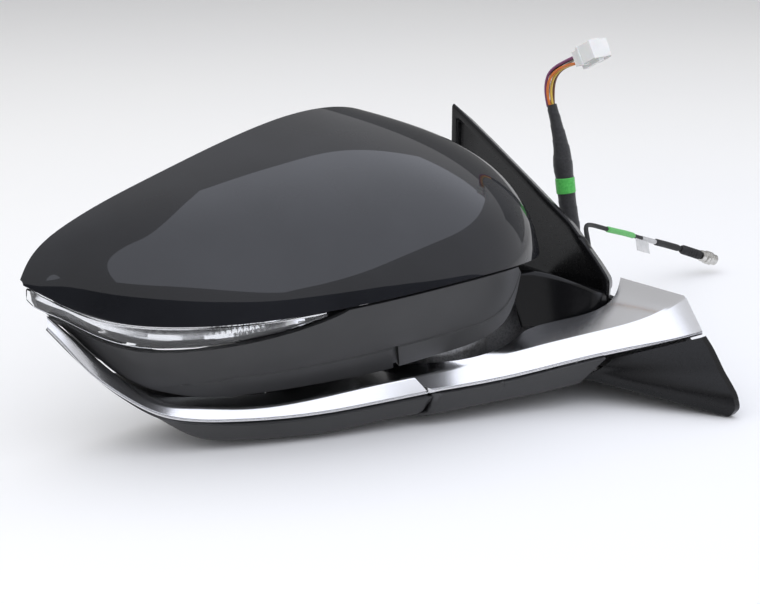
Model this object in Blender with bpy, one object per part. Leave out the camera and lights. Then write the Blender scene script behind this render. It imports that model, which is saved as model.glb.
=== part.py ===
"""Powered car door mirror for the right-hand door, built as separate pieces.

The frame has its origin on the door face. +X points into the door, +Y to the back of the car
(the way the glass faces) and +Z up. Every number below is in millimetres; add_mesh turns them
into metres. The folding head is parented to an empty on the fold axis, and the glass to empties
on its two tilt axes.
"""

import math

import bmesh
import bpy
import numpy as np
from mathutils import Vector

MM = 0.001

# Driving dimensions
PIVOT = (-90.0, 57.0)       # fold axis, seen from above
SPLIT_R = 45.5              # the seam between foot and head is an arc about the fold axis
SPLIT_GAP = 1.2
TURRET_R = 24.0
TURRET_TOP = 34.5
POST_R, POST_BORE, POST_TOP = 8.0, 5.0, 74.0
GLASS_CENTRE = (-166.0, 52.0)   # X and Z where both tilt axes cross
GLASS_AXIS_Y = 108.5
PAN_LEVER, TILT_LEVER = 26.0, 22.0
GLASS_Y = 116.4
GLASS_THICK = 3.0
GLASS_TURNS = np.linspace(-math.pi, math.pi, 56, endpoint=False)   # angles of the glass outline
SKIN = 2.5                  # moulded skin thickness
SAIL_BACK = -4.5            # X of the sail plate's back, against the bracket's door flange
FLANGE_OUT = -4.0           # X of the flange's outer face; its inner face is the door face, X = 0
SAIL_FACE = -10.0           # X of the sail's rim
GEAR_TEETH = 24
GEAR_ROOT, GEAR_TIP = 16.0, 17.6
WORM_CORE, WORM_R, WORM_GAP = 2.2, 3.0, 0.6
WORM_X = PIVOT[0] - GEAR_TIP - WORM_GAP - WORM_R
DRIVE_Z = 50.0              # height of the worm and the gear's middle

# Lines of the head, each from the outboard tip inwards
RIM_TOP = [(-293, 127, 57.5), (-286.5, 128, 67), (-264, 128, 81), (-218, 128, 95), (-160, 128, 109),
           (-112, 127, 114.5), (-84, 124, 110), (-61, 116, 92), (-52, 110, 70)]
RIM_LOW = [(-293, 127, 57.5), (-290, 128, 46.5), (-278, 128, 32.5), (-255, 128, 7.5), (-225, 128, -4),
           (-180, 128, -8), (-140, 128, -8), (-112, 128, -2), (-96, 127, 12), (-84, 125, 30),
           (-68, 118, 48), (-52, 110, 70)]
NOSE = [(-293, 127, 57.5), (-287.5, 120, 53.5), (-278, 112, 46.5), (-266, 101, 40.3), (-241, 80, 36.2),
        (-210, 56, 37.6), (-185, 42, 40), (-150, 27, 43.8), (-115, 19, 46.3), (-85, 17, 47),
        (-57, 25, 44.5), (-35.5, 41, 42.5), (-25, 62, 46.5), (-31, 89, 57.5), (-52, 110, 70)]
NOSE_FRONT = NOSE[:10] + [(-70, 20.5, 46)]
BELLY = [(-292, 127.5, 51), (-286, 125, 42.5), (-275, 122, 33.5), (-262, 114, 17), (-247, 103.5, 2.2),
         (-227, 89, -4), (-200, 74, -5), (-165, 58, -3), (-138, 46, 0), (-112, 35, 5),
         (-94, 28, 9), (-78, 23.5, 18), (-73, 21.8, 29), (-70, 20.5, 46)]
LENS_END = 0.60             # where the lamp lens comes to its point, along NOSE_FRONT
LENS_DEPTH = 0.27           # its share of the housing wall's height, away from the tip
LENS_SEAM = 1.3             # gap between the lens and its neighbours
CAP_CROWN = 12.0            # degrees: how steeply the cap leaves its rear rim

# Lines of the bright strip and the lower cover, also from the tip inwards
STRIP_EDGE = [(-284.5, 118.5, 39.5), (-279, 113, 30.5), (-273, 107, 20), (-259, 96, 4), (-246, 87, -6),
              (-232, 79, -11), (-208, 65, -13.5), (-173, 48, -13.5), (-150, 38.5, -12),
              (-120, 26, -9.5)]
STRIP_CREASE = [(-283, 121, 40), (-277, 116, 32), (-269, 109.5, 20.5), (-255, 98.5, 3), (-242, 89.5, -5),
                (-229, 82, -7.5), (-206, 68.5, -9.5), (-170, 52, -7.5), (-149, 42.5, -5),
                (-118, 29.5, -2.5)]
STRIP_SHELF = [(0, 1, 0), (0.25, 7.5, 0.8), (0.5, 16, 0.4), (1, 16, 0.4)]   # t, width, rise
COVER_EDGE = [(-277, 125, 34), (-273, 120, 27.5), (-265.5, 112, 14), (-252, 100, -2.5), (-242, 91, -11),
              (-229, 81, -20.5), (-206, 68.5, -24.5), (-171, 51.5, -25), (-150, 42.5, -23),
              (-120, 30, -21)]
COVER_REAR = [(-281, 128, 36)] + RIM_LOW[2:7] + [(-104, 128, -5)]

# Lines of the foot, from the seam to the door
FOOT_EDGE = [(-140, 36, -11), (-125, 28, -9.5), (-86, 11.5, -7), (-53, -4, -2), (-25, -21, 3),
             (-9, -33, 6.5), (-1, -41, 10)]
FOOT_CREASE = [(-140, 46, -7), (-126, 38, -5), (-103, 27, -2), (-69, 13, 3), (-37, -4, 9),
               (-19, -15, 13.5), (-9, -22, 18.5), (-1, -29, 26)]
FOOT_REAR = [(-140, 56, -4), (-124, 48, -2), (-110, 35, -0.5), (-90, 24.5, 2), (-72, 25, 4),
             (-58, 28, 6), (-40, 21.5, 9), (-20, 11.5, 13.5), (-9, 11, 18), (-1, 14, 26)]
FOOT_BOTTOM = [(-140, 36, -22.5), (-118, 27, -21.5), (-84, 13, -19), (-62, 3.5, -17), (-50, -1.5, -15.5)]

# The glass's outline, as (X, Z)
GLASS = [(-255, 58), (-246, 71), (-214, 84), (-165, 96), (-118, 101), (-95, 96), (-84, 82), (-80, 62),
         (-87, 40), (-106, 20), (-140, 9), (-185, 6), (-222, 13), (-247, 34)]

# Door side seen along X, as (Y, Z)
SAIL = [(134, 103), (107, 88.3), (75, 70.2), (43, 51.6), (23, 34.4), (14.5, 26), (15, 12), (60, 8),
        (131, 8), (134, 12)]
FLANGE = [(124.5, 14), (124.5, 80), (121, 83.3), (110, 78), (78, 60), (46, 41.5), (29, 25.5), (23, 13.5),
          (12, 12), (-20, 16), (-32, 3), (-51, -13), (-58, -21), (-56, -25), (62, -25), (72, 6), (90, 13)]
TOE = [(-43, 8), (-48, 3), (-57, -9), (-66, -20), (-66.5, -26), (-63, -29.5)]
NECK = {-6: (14, 16, 18, 66), -20: (13, 16, 23, 69), -30: (17.5, 21, 28, 72), -45: (25, 35, 33.5, 78),
        -58: (30, 42, 34, 80)}   # X: front Y, crease Y, top Z, rear Y
STUDS = [(-24, -8), (46, -9), (118, 64)]
HARNESS_EXIT = (60, 30)
LEAD_EXIT = (42, 24)

# Fittings: seen from above as (X, Y), and on the frame's web as (X, Z)
CAMERA = (-205.0, 92.0)
GROUND_LAMP = (-165.0, 92.0)
FRAME_SCREWS = [(-199, 14), (-199, 60), (-136, 14)]

# Routes of the wiring, from the door face
SLEEVE = [(7.4, 60, 30), (12.5, 61.2, 34), (15, 64.5, 44), (15, 68, 58), (15, 69.8, 68),
          (15, 71.5, 78), (15, 75, 90), (15, 81, 106)]
SLEEVE_END = (15, 81.5, 108)
WIRE_PATH = [(15, 82.5, 114), (15, 80, 122), (15, 72, 129)]
CONNECTOR_FACE = (15, 62.5, 133.2)
WIRE_STARTS = [(-2.4, -1.3, 0), (0, -2.6, 0), (2.4, -1.3, 0), (-2.4, 1.4, 0), (0, 2.6, 0), (2.4, 1.4, 0)]
WIRE_ENDS = [(-3.4, -0.5, -1.6), (0, -0.5, -1.6), (3.4, -0.5, -1.6), (-3.4, 0.8, 1.6), (0, 0.8, 1.6),
             (3.4, 0.8, 1.6)]
LEAD = [(4.4, 42, 24), (10, 46, 31), (20, 57, 38), (38, 70, 36), (62, 78, 27.5), (92, 88, 17), (116, 96, 8),
        (138, 101.5, 0), (156, 105.5, -6.5), (168, 106, -11)]


def spline(points, t):
    """Natural cubic spline through the points, with chord-length knots, at each t from 0 to 1."""
    p = np.array(points, float)
    step = np.linalg.norm(np.diff(p, axis=0), axis=1)
    knots = np.concatenate([[0.0], np.cumsum(step)]) / step.sum()
    h = np.diff(knots)
    last = len(p) - 1
    rows = np.eye(len(p))
    right = np.zeros_like(p)
    for i in range(1, last):
        rows[i, i - 1:i + 2] = h[i - 1], 2 * (h[i - 1] + h[i]), h[i]
        right[i] = 6 * ((p[i + 1] - p[i]) / h[i] - (p[i] - p[i - 1]) / h[i - 1])
    bend = np.linalg.solve(rows, right)
    t = np.clip(np.atleast_1d(t), 0, 1)
    i = np.clip(np.searchsorted(knots, t, side="right") - 1, 0, last - 1)
    b = ((t - knots[i]) / h[i])[:, None]
    a = 1 - b
    square = (h[i] ** 2)[:, None]
    return a * p[i] + b * p[i + 1] + ((a ** 3 - a) * bend[i] + (b ** 3 - b) * bend[i + 1]) * square / 6


def bezier(a, b, c, d, v):
    v = np.asarray(v)[..., None]
    return (1 - v) ** 3 * a + 3 * (1 - v) ** 2 * v * b + 3 * (1 - v) * v ** 2 * c + v ** 3 * d


def cap_grid(u, v):
    """Outer surface of the cap: v runs from the rear rim at 0 to the nose line at 1."""
    rim = spline(RIM_TOP, u)[:, None]
    nose = spline(NOSE, u)[:, None]
    span = nose - rim
    run = np.linalg.norm(span[..., :2], axis=2)
    over = rim + span * [0.6, 0.6, 0]
    fall = -0.5 * span[..., 2].clip(max=0)
    over[..., 2] -= np.minimum(math.tan(math.radians(CAP_CROWN)) * 0.6 * run, fall)
    front = nose - span * [0.06, 0.06, 0.55]
    return bezier(rim, over, front, nose, v[None, :])


def wall_grid(u, v):
    """Outer surface of the housing wall: v runs from the nose line at 0 to the belly at 1."""
    nose = spline(NOSE_FRONT, u)[:, None]
    belly = spline(BELLY, u)[:, None]
    span = belly - nose
    upper = nose + span * [0.04, 0.04, 0.35]
    lower = belly - span * [0.40, 0.40, 0.30]
    return bezier(nose, upper, lower, belly, v)


def lens_share(u):
    """Share of the wall's height that the lamp lens takes at u."""
    share = LENS_DEPTH * np.clip(1 - (u / LENS_END) ** 3, 0, 1) ** 0.8 + 0.9 * np.exp(-u / 0.11)
    return np.minimum(share, 0.95)


def seam_share(u):
    """Share of the wall's height that the lens's seam takes at u."""
    return LENS_SEAM / np.linalg.norm(spline(BELLY, u) - spline(NOSE_FRONT, u), axis=1)


def inward(line, offset, drop=0.0):
    """The line moved sideways in plan, to the left of its run, and down."""
    run = np.gradient(line, axis=0)
    side = np.stack([-run[:, 1], run[:, 0], 0 * run[:, 0]], axis=1)
    side /= np.linalg.norm(side, axis=1)[:, None]
    moved = line + side * np.reshape(offset, (-1, 1))
    moved[:, 2] -= drop
    return moved


# Materials and mesh making

def material(name, colour, roughness, metallic=0.0):
    made = bpy.data.materials.new(name)
    made.use_nodes = True
    shader = made.node_tree.nodes["Principled BSDF"]
    shader.inputs["Base Color"].default_value = (*colour, 1)
    shader.inputs["Roughness"].default_value = roughness
    shader.inputs["Metallic"].default_value = metallic
    made.diffuse_color = (*colour, 1)
    return made


def add_mesh(name, points, faces, look, parent=None):
    """A mesh object from millimetre points, with its faces turned outwards."""
    mesh = bpy.data.meshes.new(name)
    obj = bpy.data.objects.new(name, mesh)
    bpy.context.scene.collection.objects.link(obj)
    origin = world_place(parent)
    mesh.from_pydata([Vector(p) * MM - origin for p in np.asarray(points, float).tolist()], [], faces)
    work = bmesh.new()
    work.from_mesh(mesh)
    bmesh.ops.remove_doubles(work, verts=work.verts, dist=1e-6)
    bmesh.ops.recalc_face_normals(work, faces=work.faces)
    work.to_mesh(mesh)
    work.free()
    mesh.shade_smooth()
    mesh.set_sharp_from_angle(angle=math.radians(35))
    if look:
        mesh.materials.append(look)
    obj.parent = parent
    return obj


def world_place(obj):
    """Where an unturned object stands, through its parents."""
    return obj.location + world_place(obj.parent) if obj else Vector((0, 0, 0))


def empty(name, spot, parent=None):
    obj = bpy.data.objects.new(name, None)
    bpy.context.scene.collection.objects.link(obj)
    obj.location = Vector(spot) * MM - world_place(parent)
    obj.parent = parent
    return obj


def quads(rows, columns, wrap_rows=False, wrap_columns=False):
    found = []
    for i in range(rows if wrap_rows else rows - 1):
        for j in range(columns if wrap_columns else columns - 1):
            k = (i + 1) % rows
            m = (j + 1) % columns
            found.append((i * columns + j, i * columns + m, k * columns + m, k * columns + j))
    return found


def normals(grid):
    normal = np.cross(np.gradient(grid, axis=0), np.gradient(grid, axis=1))
    return normal / (np.linalg.norm(normal, axis=2)[..., None] + 1e-9)


def shell(name, grid, moves, look, parent=None):
    """A skin: the grid's surface and a moved copy of it, joined round the border."""
    rows, columns = grid.shape[:2]
    inner = grid + moves
    count = rows * columns
    faces = quads(rows, columns)
    faces += [tuple(count + k for k in face[::-1]) for face in quads(rows, columns)]
    border = [j for j in range(columns)]
    border += [i * columns + columns - 1 for i in range(1, rows)]
    border += [(rows - 1) * columns + j for j in range(columns - 2, -1, -1)]
    border += [i * columns for i in range(rows - 2, 0, -1)]
    for a, b in zip(border, border[1:] + border[:1]):
        faces.append((b, a, count + a, count + b))
    points = np.concatenate([grid.reshape(-1, 3), inner.reshape(-1, 3)])
    return add_mesh(name, points, faces, look, parent)


def loft(name, rings, look, parent=None, closed=False):
    """A solid through rings of equal count: capped at both ends, or closed on itself."""
    rings = np.array(rings, float)
    rows, columns = rings.shape[:2]
    faces = quads(rows, columns, wrap_rows=closed, wrap_columns=True)
    if not closed:
        faces.append(tuple(range(columns)))
        faces.append(tuple((rows - 1) * columns + j for j in range(columns))[::-1])
    return add_mesh(name, rings.reshape(-1, 3), faces, look, parent)


def circle(radius, count):
    turn = np.arange(count) * 2 * math.pi / count
    return np.stack([radius * np.cos(turn), radius * np.sin(turn)], axis=1)


def place(flat, level, axis):
    """Flat outline points, put at one level along the axis."""
    flat = np.asarray(flat, float)
    full = np.full(len(flat), float(level))
    columns = {"X": (full, flat[:, 0], flat[:, 1]), "Y": (flat[:, 0], full, flat[:, 1]),
               "Z": (flat[:, 0], flat[:, 1], full)}[axis]
    return np.stack(columns, axis=1)


def prism(name, outline, low, high, axis, look, parent=None):
    return loft(name, [place(outline, low, axis), place(outline, high, axis)], look, parent)


def turned(name, centre, profile, axis, look, parent=None, count=32, closed=False):
    """A round solid from (radius, level) pairs about an axis through the centre."""
    rings = [place(circle(r, count) + centre, level, axis) for r, level in profile]
    return loft(name, rings, look, parent, closed)


def ring(name, centre, inner, outer, low, high, axis, look, parent=None, count=32):
    profile = [(outer, low), (outer, high), (inner, high), (inner, low)]
    return turned(name, centre, profile, axis, look, parent, count, closed=True)


def rounded(centre, half_a, half_b, radius, steps=3):
    """A rounded rectangle's outline."""
    points = []
    for quarter, (sa, sb) in enumerate([(1, 1), (-1, 1), (-1, -1), (1, -1)]):
        for step in range(steps + 1):
            turn = math.radians(90 * (quarter + step / steps))
            points.append((centre[0] + sa * (half_a - radius) + radius * math.cos(turn),
                           centre[1] + sb * (half_b - radius) + radius * math.sin(turn)))
    return points


def boolean(target, operation, others):
    """Adds one Boolean modifier for each other solid, and hides those solids from the render."""
    for other in others:
        modifier = target.modifiers.new(operation.title() + "_" + other.name, "BOOLEAN")
        modifier.operation = operation
        modifier.object = other
        other.hide_render = True
        other.display_type = "WIRE"
    return target


def arc(radius, start, end, count, centre=PIVOT):
    turn = np.radians(np.linspace(start, end, count))
    return [(centre[0] + radius * math.cos(a), centre[1] + radius * math.sin(a)) for a in turn]


def t_at(line, x):
    """Where along the spline it reaches this X."""
    t = np.linspace(0, 1, 400)
    return float(np.interp(x, spline(line, t)[:, 0], t))


def inset(points, distance):
    """A closed outline moved inwards, in its own plane."""
    p = np.asarray(points, float)
    run = np.roll(p, -1, axis=0) - np.roll(p, 1, axis=0)
    run /= np.linalg.norm(run, axis=1)[:, None]
    normal = np.stack([-run[:, 1], run[:, 0]], axis=1)
    area = np.sum(p[:, 0] * np.roll(p[:, 1], -1) - np.roll(p[:, 0], -1) * p[:, 1])
    return p + normal * distance * math.copysign(1, area)


def cylinder(name, centre, radius, low, high, axis, look, parent=None, count=24, chamfer=0.0):
    profile = [(radius - chamfer, low), (radius, low + chamfer), (radius, high - chamfer),
               (radius - chamfer, high)]
    if not chamfer:
        profile = [(radius, low), (radius, high)]
    return turned(name, centre, profile, axis, look, parent, count)


def cutter(name, centre, radius, low, high, axis="Z", count=32):
    return cylinder(name, centre, radius, low, high, axis, None, count=count)


def block(name, low, high, look, parent=None, radius=0.0):
    """A box between two corners, with its upright edges rounded."""
    centre = ((low[0] + high[0]) / 2, (low[1] + high[1]) / 2)
    half = ((high[0] - low[0]) / 2, (high[1] - low[1]) / 2)
    outline = rounded(centre, half[0], half[1], radius, 3) if radius else [
        (low[0], low[1]), (high[0], low[1]), (high[0], high[1]), (low[0], high[1])]
    return prism(name, outline, low[2], high[2], "Z", look, parent)


def cord(name, route, radius, look, spacing):
    """A tube along a smooth curve through the route."""
    line = spline(route, np.linspace(0, 1, 200))
    length = np.linalg.norm(np.diff(line, axis=0), axis=1).sum()
    points = spline(route, np.linspace(0, 1, max(4, round(length / spacing))))
    curve = bpy.data.curves.new(name, "CURVE")
    curve.dimensions = "3D"
    curve.bevel_depth = radius * MM
    curve.bevel_resolution = 2
    curve.use_fill_caps = True
    run = curve.splines.new("POLY")
    run.points.add(len(points) - 1)
    for point, place_mm in zip(run.points, points.tolist()):
        point.co = (*(MM * c for c in place_mm), 1)
    curve.materials.append(look)
    obj = bpy.data.objects.new(name, curve)
    bpy.context.scene.collection.objects.link(obj)
    return obj


# The fixed side: bracket, foot, sail and door edge

def base_bracket(look):
    flange = prism("base_bracket", FLANGE, FLANGE_OUT, 0, "X", look)
    arm = loft("bracket_arm", [
        [(-2, 34, -8), (-2, 60, -8), (-2, 60, 12), (-2, 34, 12)],
        [(-72, 43, -8), (-72, 68, -8), (-72, 68, 24), (-72, 43, 24)]], None)
    turret = cylinder("bracket_turret", PIVOT, TURRET_R, -10, TURRET_TOP, "Z", None, count=40)
    boolean(flange, "UNION", [arm, turret])
    holes = [cutter("post_hole", PIVOT, POST_R + 0.3, 8, 60)]
    for number, spot in enumerate(STUDS, 1):
        holes.append(cutter(f"stud_hole_{number}", spot, 3.3, -20, 5, "X", 16))
    holes.append(cutter("harness_hole", HARNESS_EXIT, 9.0, -20, 5, "X"))
    holes.append(cutter("camera_lead_hole", LEAD_EXIT, 3.6, -20, 5, "X", 16))
    return boolean(flange, "DIFFERENCE", holes)


def studs(look):
    for number, spot in enumerate(STUDS, 1):
        cylinder(f"door_stud_{number}", spot, 3.0, SAIL_BACK + 0.4, 24, "X", look, count=16, chamfer=0.8)


def pivot(post_look, gear_look, spring_look):
    ring("pivot_post", PIVOT, POST_BORE, POST_R, 8.4, POST_TOP, "Z", post_look)
    gear("fold_gear", PIVOT, POST_R + 0.4, DRIVE_Z - 2.5, DRIVE_Z + 2.5, gear_look)
    ring("post_washer", PIVOT, POST_R + 0.4, 13.0, 66.6, 68.6, "Z", post_look)
    turn = np.linspace(0, 4 * 2 * math.pi, 56)
    coil = [(PIVOT[0] + 12.5 * math.cos(a), PIVOT[1] + 12.5 * math.sin(a),
             54.2 + 6.0 * a / turn[-1]) for a in turn]
    wire("fold_spring", coil, 0.55, spring_look)


def wire(name, points, radius, look, parent=None):
    """A round bar swept along the points, as a mesh."""
    p = np.array(points, float)
    run = np.gradient(p, axis=0)
    run /= np.linalg.norm(run, axis=1)[:, None]
    side = np.cross(run, [0, 0, 1.0])
    side /= np.linalg.norm(side, axis=1)[:, None]
    over = np.cross(side, run)
    flat = circle(radius, 6)
    rings = [q + flat[:, :1] * s + flat[:, 1:] * o for q, s, o in zip(p, side, over)]
    return loft(name, rings, look, parent)


def gear(name, centre, bore, low, high, look, parent=None):
    """A spur ring with trapezoid teeth."""
    outline = []
    for tooth in range(GEAR_TEETH):
        for share, radius in ((0.0, GEAR_ROOT), (0.3, GEAR_ROOT), (0.45, GEAR_TIP), (0.85, GEAR_TIP)):
            turn = 2 * math.pi * (tooth + share) / GEAR_TEETH
            outline.append((centre[0] + radius * math.cos(turn), centre[1] + radius * math.sin(turn)))
    inner = circle(bore, len(outline)) + centre
    rings = [place(outline, low, "Z"), place(outline, high, "Z"), place(inner, high, "Z"),
             place(inner, low, "Z")]
    return loft(name, rings, look, parent, closed=True)


def arm_trim(look):
    t = np.linspace(0, 1, 26)
    edge, crease, rear = spline(FOOT_EDGE, t), spline(FOOT_CREASE, t), spline(FOOT_REAR, t)
    lip = edge - [0, 0, 1.6]
    middle = (crease + rear) / 2
    grid = np.stack([lip, edge, crease, middle, rear], axis=1)
    moves = np.array([(0.8, 1.4, 0), (0.8, 1.4, -1.0), (0.5, 0.8, -1.6), (0.3, 0, -1.8), (0.3, 0, -1.8)])
    return cut_at_seam(shell("arm_trim", grid, moves, look))


def foot_lower_cover(look):
    t = np.linspace(0, 1, 16)
    top = spline(FOOT_EDGE, t * t_at(FOOT_EDGE, -40.5)) - [0, -0.5, 2.2]
    low = spline(FOOT_BOTTOM, t)
    rear = spline([(-140, 98, -20), (-112, 100, -19), (-84, 98, -17.5), (-62, 88, -16),
                   (-51, 84, -15)], t)
    bend = low + (rear - low) * 0.06 - [0, 0, 0.4]
    half = low + (rear - low) * 0.5
    brim = rear * [1, 1, 0] + [0, 3, 0]
    deck = spline([(-140, 60, -3), (-122, 68, -2.2), (-104, 84, -1.2), (-82, 85, -1), (-62, 84, -1),
                   (-51, 80, -1)], t)
    grid = np.stack([top, (top + low) / 2, low, bend, half, rear, brim, deck], axis=1)
    return cut_at_seam(shell("foot_lower_cover", grid, -2.0 * normals(grid), look))


def cut_at_seam(obj):
    """Trims a foot skin to the arc about the fold axis where the head's strip begins."""
    seam = arc(SPLIT_R - SPLIT_GAP / 2, -90, -270, 25)
    outline = [(-200, -60), (-90, -60), *seam, (-90, 170), (-200, 170)]
    return boolean(obj, "DIFFERENCE", [prism("seam_cutter_" + obj.name, outline, -60, 60, "Z", None)])


def toe_cover(look):
    down = spline(TOE, np.linspace(0, 1, 8))
    door = [(-0.6, y, z) for y, z in down] + [(-0.6, y, -29.5) for y in (-40, 10, 62)]
    far = [(-36, -13, -3.6), (-38, -11.5, -6), (-40.5, -9.5, -8.5), (-42.5, -7, -10.5), (-44.5, -4.5, -12.5),
           (-45.5, -2.5, -14), (-46, -0.5, -15), (-46, 1.5, -15.6), (-46, 14, -15.8),
           (-46, 40, -15.6), (-46, 66, -15.2)]
    door = np.array(door, float)
    far = np.array(far, float)
    inner = door.copy()
    inner[:, 0] = SAIL_BACK
    rows = [door, inner] + [inner + (far - inner) * share for share in (0.33, 0.67, 1.0)]
    grid = np.stack(rows)
    return shell("toe_cover", grid, -2.0 * normals(grid), look)


def sail_cover(look):
    """The triangular door plate, with a raised rim round a sunk face."""
    outline = smooth_loop(SAIL, 40)
    face = SAIL_FACE
    rings = [place(inset(outline, 6.0), face + 3.6, "X"), place(inset(outline, 4.4), face, "X"),
             place(inset(outline, 1.2), face, "X"), place(outline, face + 1.2, "X"),
             place(inset(outline, 5.0), -0.6, "X"), place(inset(outline, 7.2), -0.6, "X"),
             place(inset(outline, 7.3), SAIL_BACK, "X")]
    plate = loft("sail_cover", rings, look)
    bottom = block("sail_bottom_gap", (SAIL_BACK - 0.1, 11, 0), (1, 126.9, 19.5), None)
    arm_room = block("sail_arm_gap", (-20, 33.5, 0), (0, 63, 15.5), None)
    return boolean(plate, "DIFFERENCE", [bottom, arm_room])


def smooth_loop(corners, count, reach=4.8):
    """A closed outline with each corner softened from this far off, resampled evenly along its length."""
    p = np.array(corners, float)
    ahead, behind = np.roll(p, -1, axis=0), np.roll(p, 1, axis=0)
    dense = []
    for a, b, c in zip(behind, p, ahead):
        reach_in = min(reach, 0.4 * np.linalg.norm(b - a))
        reach_out = min(reach, 0.4 * np.linalg.norm(c - b))
        start = b + (a - b) / np.linalg.norm(a - b) * reach_in
        end = b + (c - b) / np.linalg.norm(c - b) * reach_out
        for v in np.linspace(0, 1, 5):
            dense.append((1 - v) ** 2 * start + 2 * (1 - v) * v * b + v ** 2 * end)
    dense = np.array(dense + dense[:1])
    length = np.concatenate([[0], np.cumsum(np.linalg.norm(np.diff(dense, axis=0), axis=1))])
    even = np.linspace(0, length[-1], count, endpoint=False)
    return np.stack([np.interp(even, length, dense[:, k]) for k in (0, 1)], axis=1)


def neck_cover(look):
    """The cowl over the arm, from the sail to the turret, with a crease along its front edge."""
    stations = np.linspace(SAIL_FACE - 0.5, -58, 9)
    known = sorted(NECK)
    front, crease, top, rear = (np.interp(stations, known, [NECK[x][k] for x in known])
                                for k in range(4))
    low = np.interp(stations, known, [4, 5, 6, 9.5, 13])
    columns = [(front, low), ((front + crease) / 2, (low + top) / 2), (crease, top),
               ((crease + rear) / 2, top + 0.8), (rear - 6, top - 0.5), (rear, top - 6), (rear, 3 + 0 * low)]
    grid = np.stack([np.stack([stations, y, z], axis=1) for y, z in columns], axis=1)
    return shell("neck_cover", grid, 2.2 * normals(grid), look)


def door_gasket(look):
    """A foam ring round the flange's edge, pressed flush with the door face."""
    outer, inner = inset(FLANGE, -1.5), inset(FLANGE, -0.3)
    rings = [place(outer, FLANGE_OUT, "X"), place(outer, 0, "X"), place(inner, 0, "X"),
             place(inner, FLANGE_OUT, "X")]
    return loft("door_gasket", rings, look, closed=True)


def harness(rubber, tape, wire_looks, white, lead_look, metal):
    back = SAIL_BACK + 0.3
    profile = [(8.6, back), (8.6, 0.8), (10.4, 0.8), (10.4, 2.6), (7.2, 6.6), (5.6, 6.6), (5.6, back)]
    turned("harness_grommet", HARNESS_EXIT, profile, "X", rubber, count=24, closed=True)
    cord("harness_sleeve", SLEEVE, 4.6, tape, 9)
    for number, (start, end, look) in enumerate(zip(WIRE_STARTS, WIRE_ENDS, wire_looks), 1):
        middle = [np.add(p, (np.array(start) + end) / 2) for p in WIRE_PATH]
        route = [np.add(SLEEVE_END, start), *middle, np.add(CONNECTOR_FACE, end)]
        cord(f"harness_wire_{number}", route, 0.75, look, 4.5)
    connector(white)
    ring("camera_lead_grommet", LEAD_EXIT, 1.9, 3.3, back, 4, "X", rubber, count=16)
    cord("camera_lead", LEAD, 1.3, lead_look, 5.5)
    lead_plug(rubber, metal)


def turned_along(name, start, end, profile, look, count=16):
    """A round solid along the line from start to end; profile levels are distances from start."""
    a, b = Vector(start), Vector(end)
    run = (b - a).normalized()
    side = run.cross(Vector((0, 0, 1))).normalized()
    over = side.cross(run)
    rings = []
    for radius, level in profile:
        middle = a + run * level
        rings.append([middle + side * x + over * y for x, y in circle(radius, count)])
    return loft(name, rings, look)


def lead_plug(rubber, metal):
    start, end = (168.4, 105.9, -11.2), (194, 98, -21.9)
    turned_along("lead_boot", start, end, [(2.2, 0), (3.0, 3), (3.0, 15), (2.6, 16)], rubber)
    turned_along("lead_plug", start, end, [(2.4, 16.4), (3.6, 17), (3.6, 20), (4.2, 20.5), (4.2, 25),
                                           (3.4, 25.5), (3.4, 29)], metal)


def connector(look):
    """The plug on the wires' end: a stepped box along the wires' own direction."""
    run = Vector((0, -0.87, 0.49)).normalized()
    side = Vector((1, 0, 0))
    over = side.cross(run)
    start = Vector(CONNECTOR_FACE) + run * 1.6
    rings = []
    for level, wide, high in ((0, 6.0, 4.2), (4, 6.0, 4.2), (4.01, 7.0, 5.0), (16, 7.0, 5.0)):
        rings.append([start + run * level + side * x + over * y
                      for x, y in ((wide, high), (-wide, high), (-wide, -high), (wide, -high))])
    return loft("harness_connector", rings, look)


# The head's outside

def cap(look, head):
    u = np.linspace(0.006, 0.988, 30)
    v = np.linspace(0, 1, 13)
    grid = cap_grid(u, v)
    return shell("mirror_cap", grid, SKIN * normals(grid), look, head)


def lower_housing(look, head):
    u = np.linspace(0.06, 0.985, 25)
    top = (lens_share(u) + seam_share(u))[:, None]
    grid = wall_grid(u, top + (1 - top) * np.linspace(0, 1, 7))
    return shell("lower_housing", grid, SKIN * normals(grid), look, head)


def lens_patch(name, depth, thick, look, head, ends=(0.014, 0.56)):
    """A layer of the turn lamp: the lens itself at depth 0, and what lies behind it deeper in."""
    u = np.linspace(*ends, 16)
    seam = seam_share(u)[:, None]
    height = lens_share(u)[:, None] - 2 * seam
    grid = wall_grid(u, seam + height * np.linspace(0, 1, 4))
    inside = normals(grid)
    return shell(name, grid + depth * inside, thick * inside, look, head)


def head_trim(look, head):
    t = np.linspace(0, 1, 24)
    edge, crease = spline(STRIP_EDGE, t), spline(STRIP_CREASE, t)
    known, wide, rise = np.transpose(STRIP_SHELF)
    shelf = inward(crease, np.interp(t, known, wide))
    shelf[:, 2] += np.interp(t, known, rise)
    grid = np.stack([edge - [0, 0, 1.2], edge, crease, shelf], axis=1)
    side = (inward(edge, 1.0) - edge)[:, None]
    down = np.array([0, 0.9, 1.5, 1.5])[:, None] * [0, 0, 1]
    moves = side * np.array([1.4, 1.4, 0.6, 0.0])[:, None] - down
    return cut_outside_seam(shell("head_trim", grid, moves, look, head))


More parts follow.
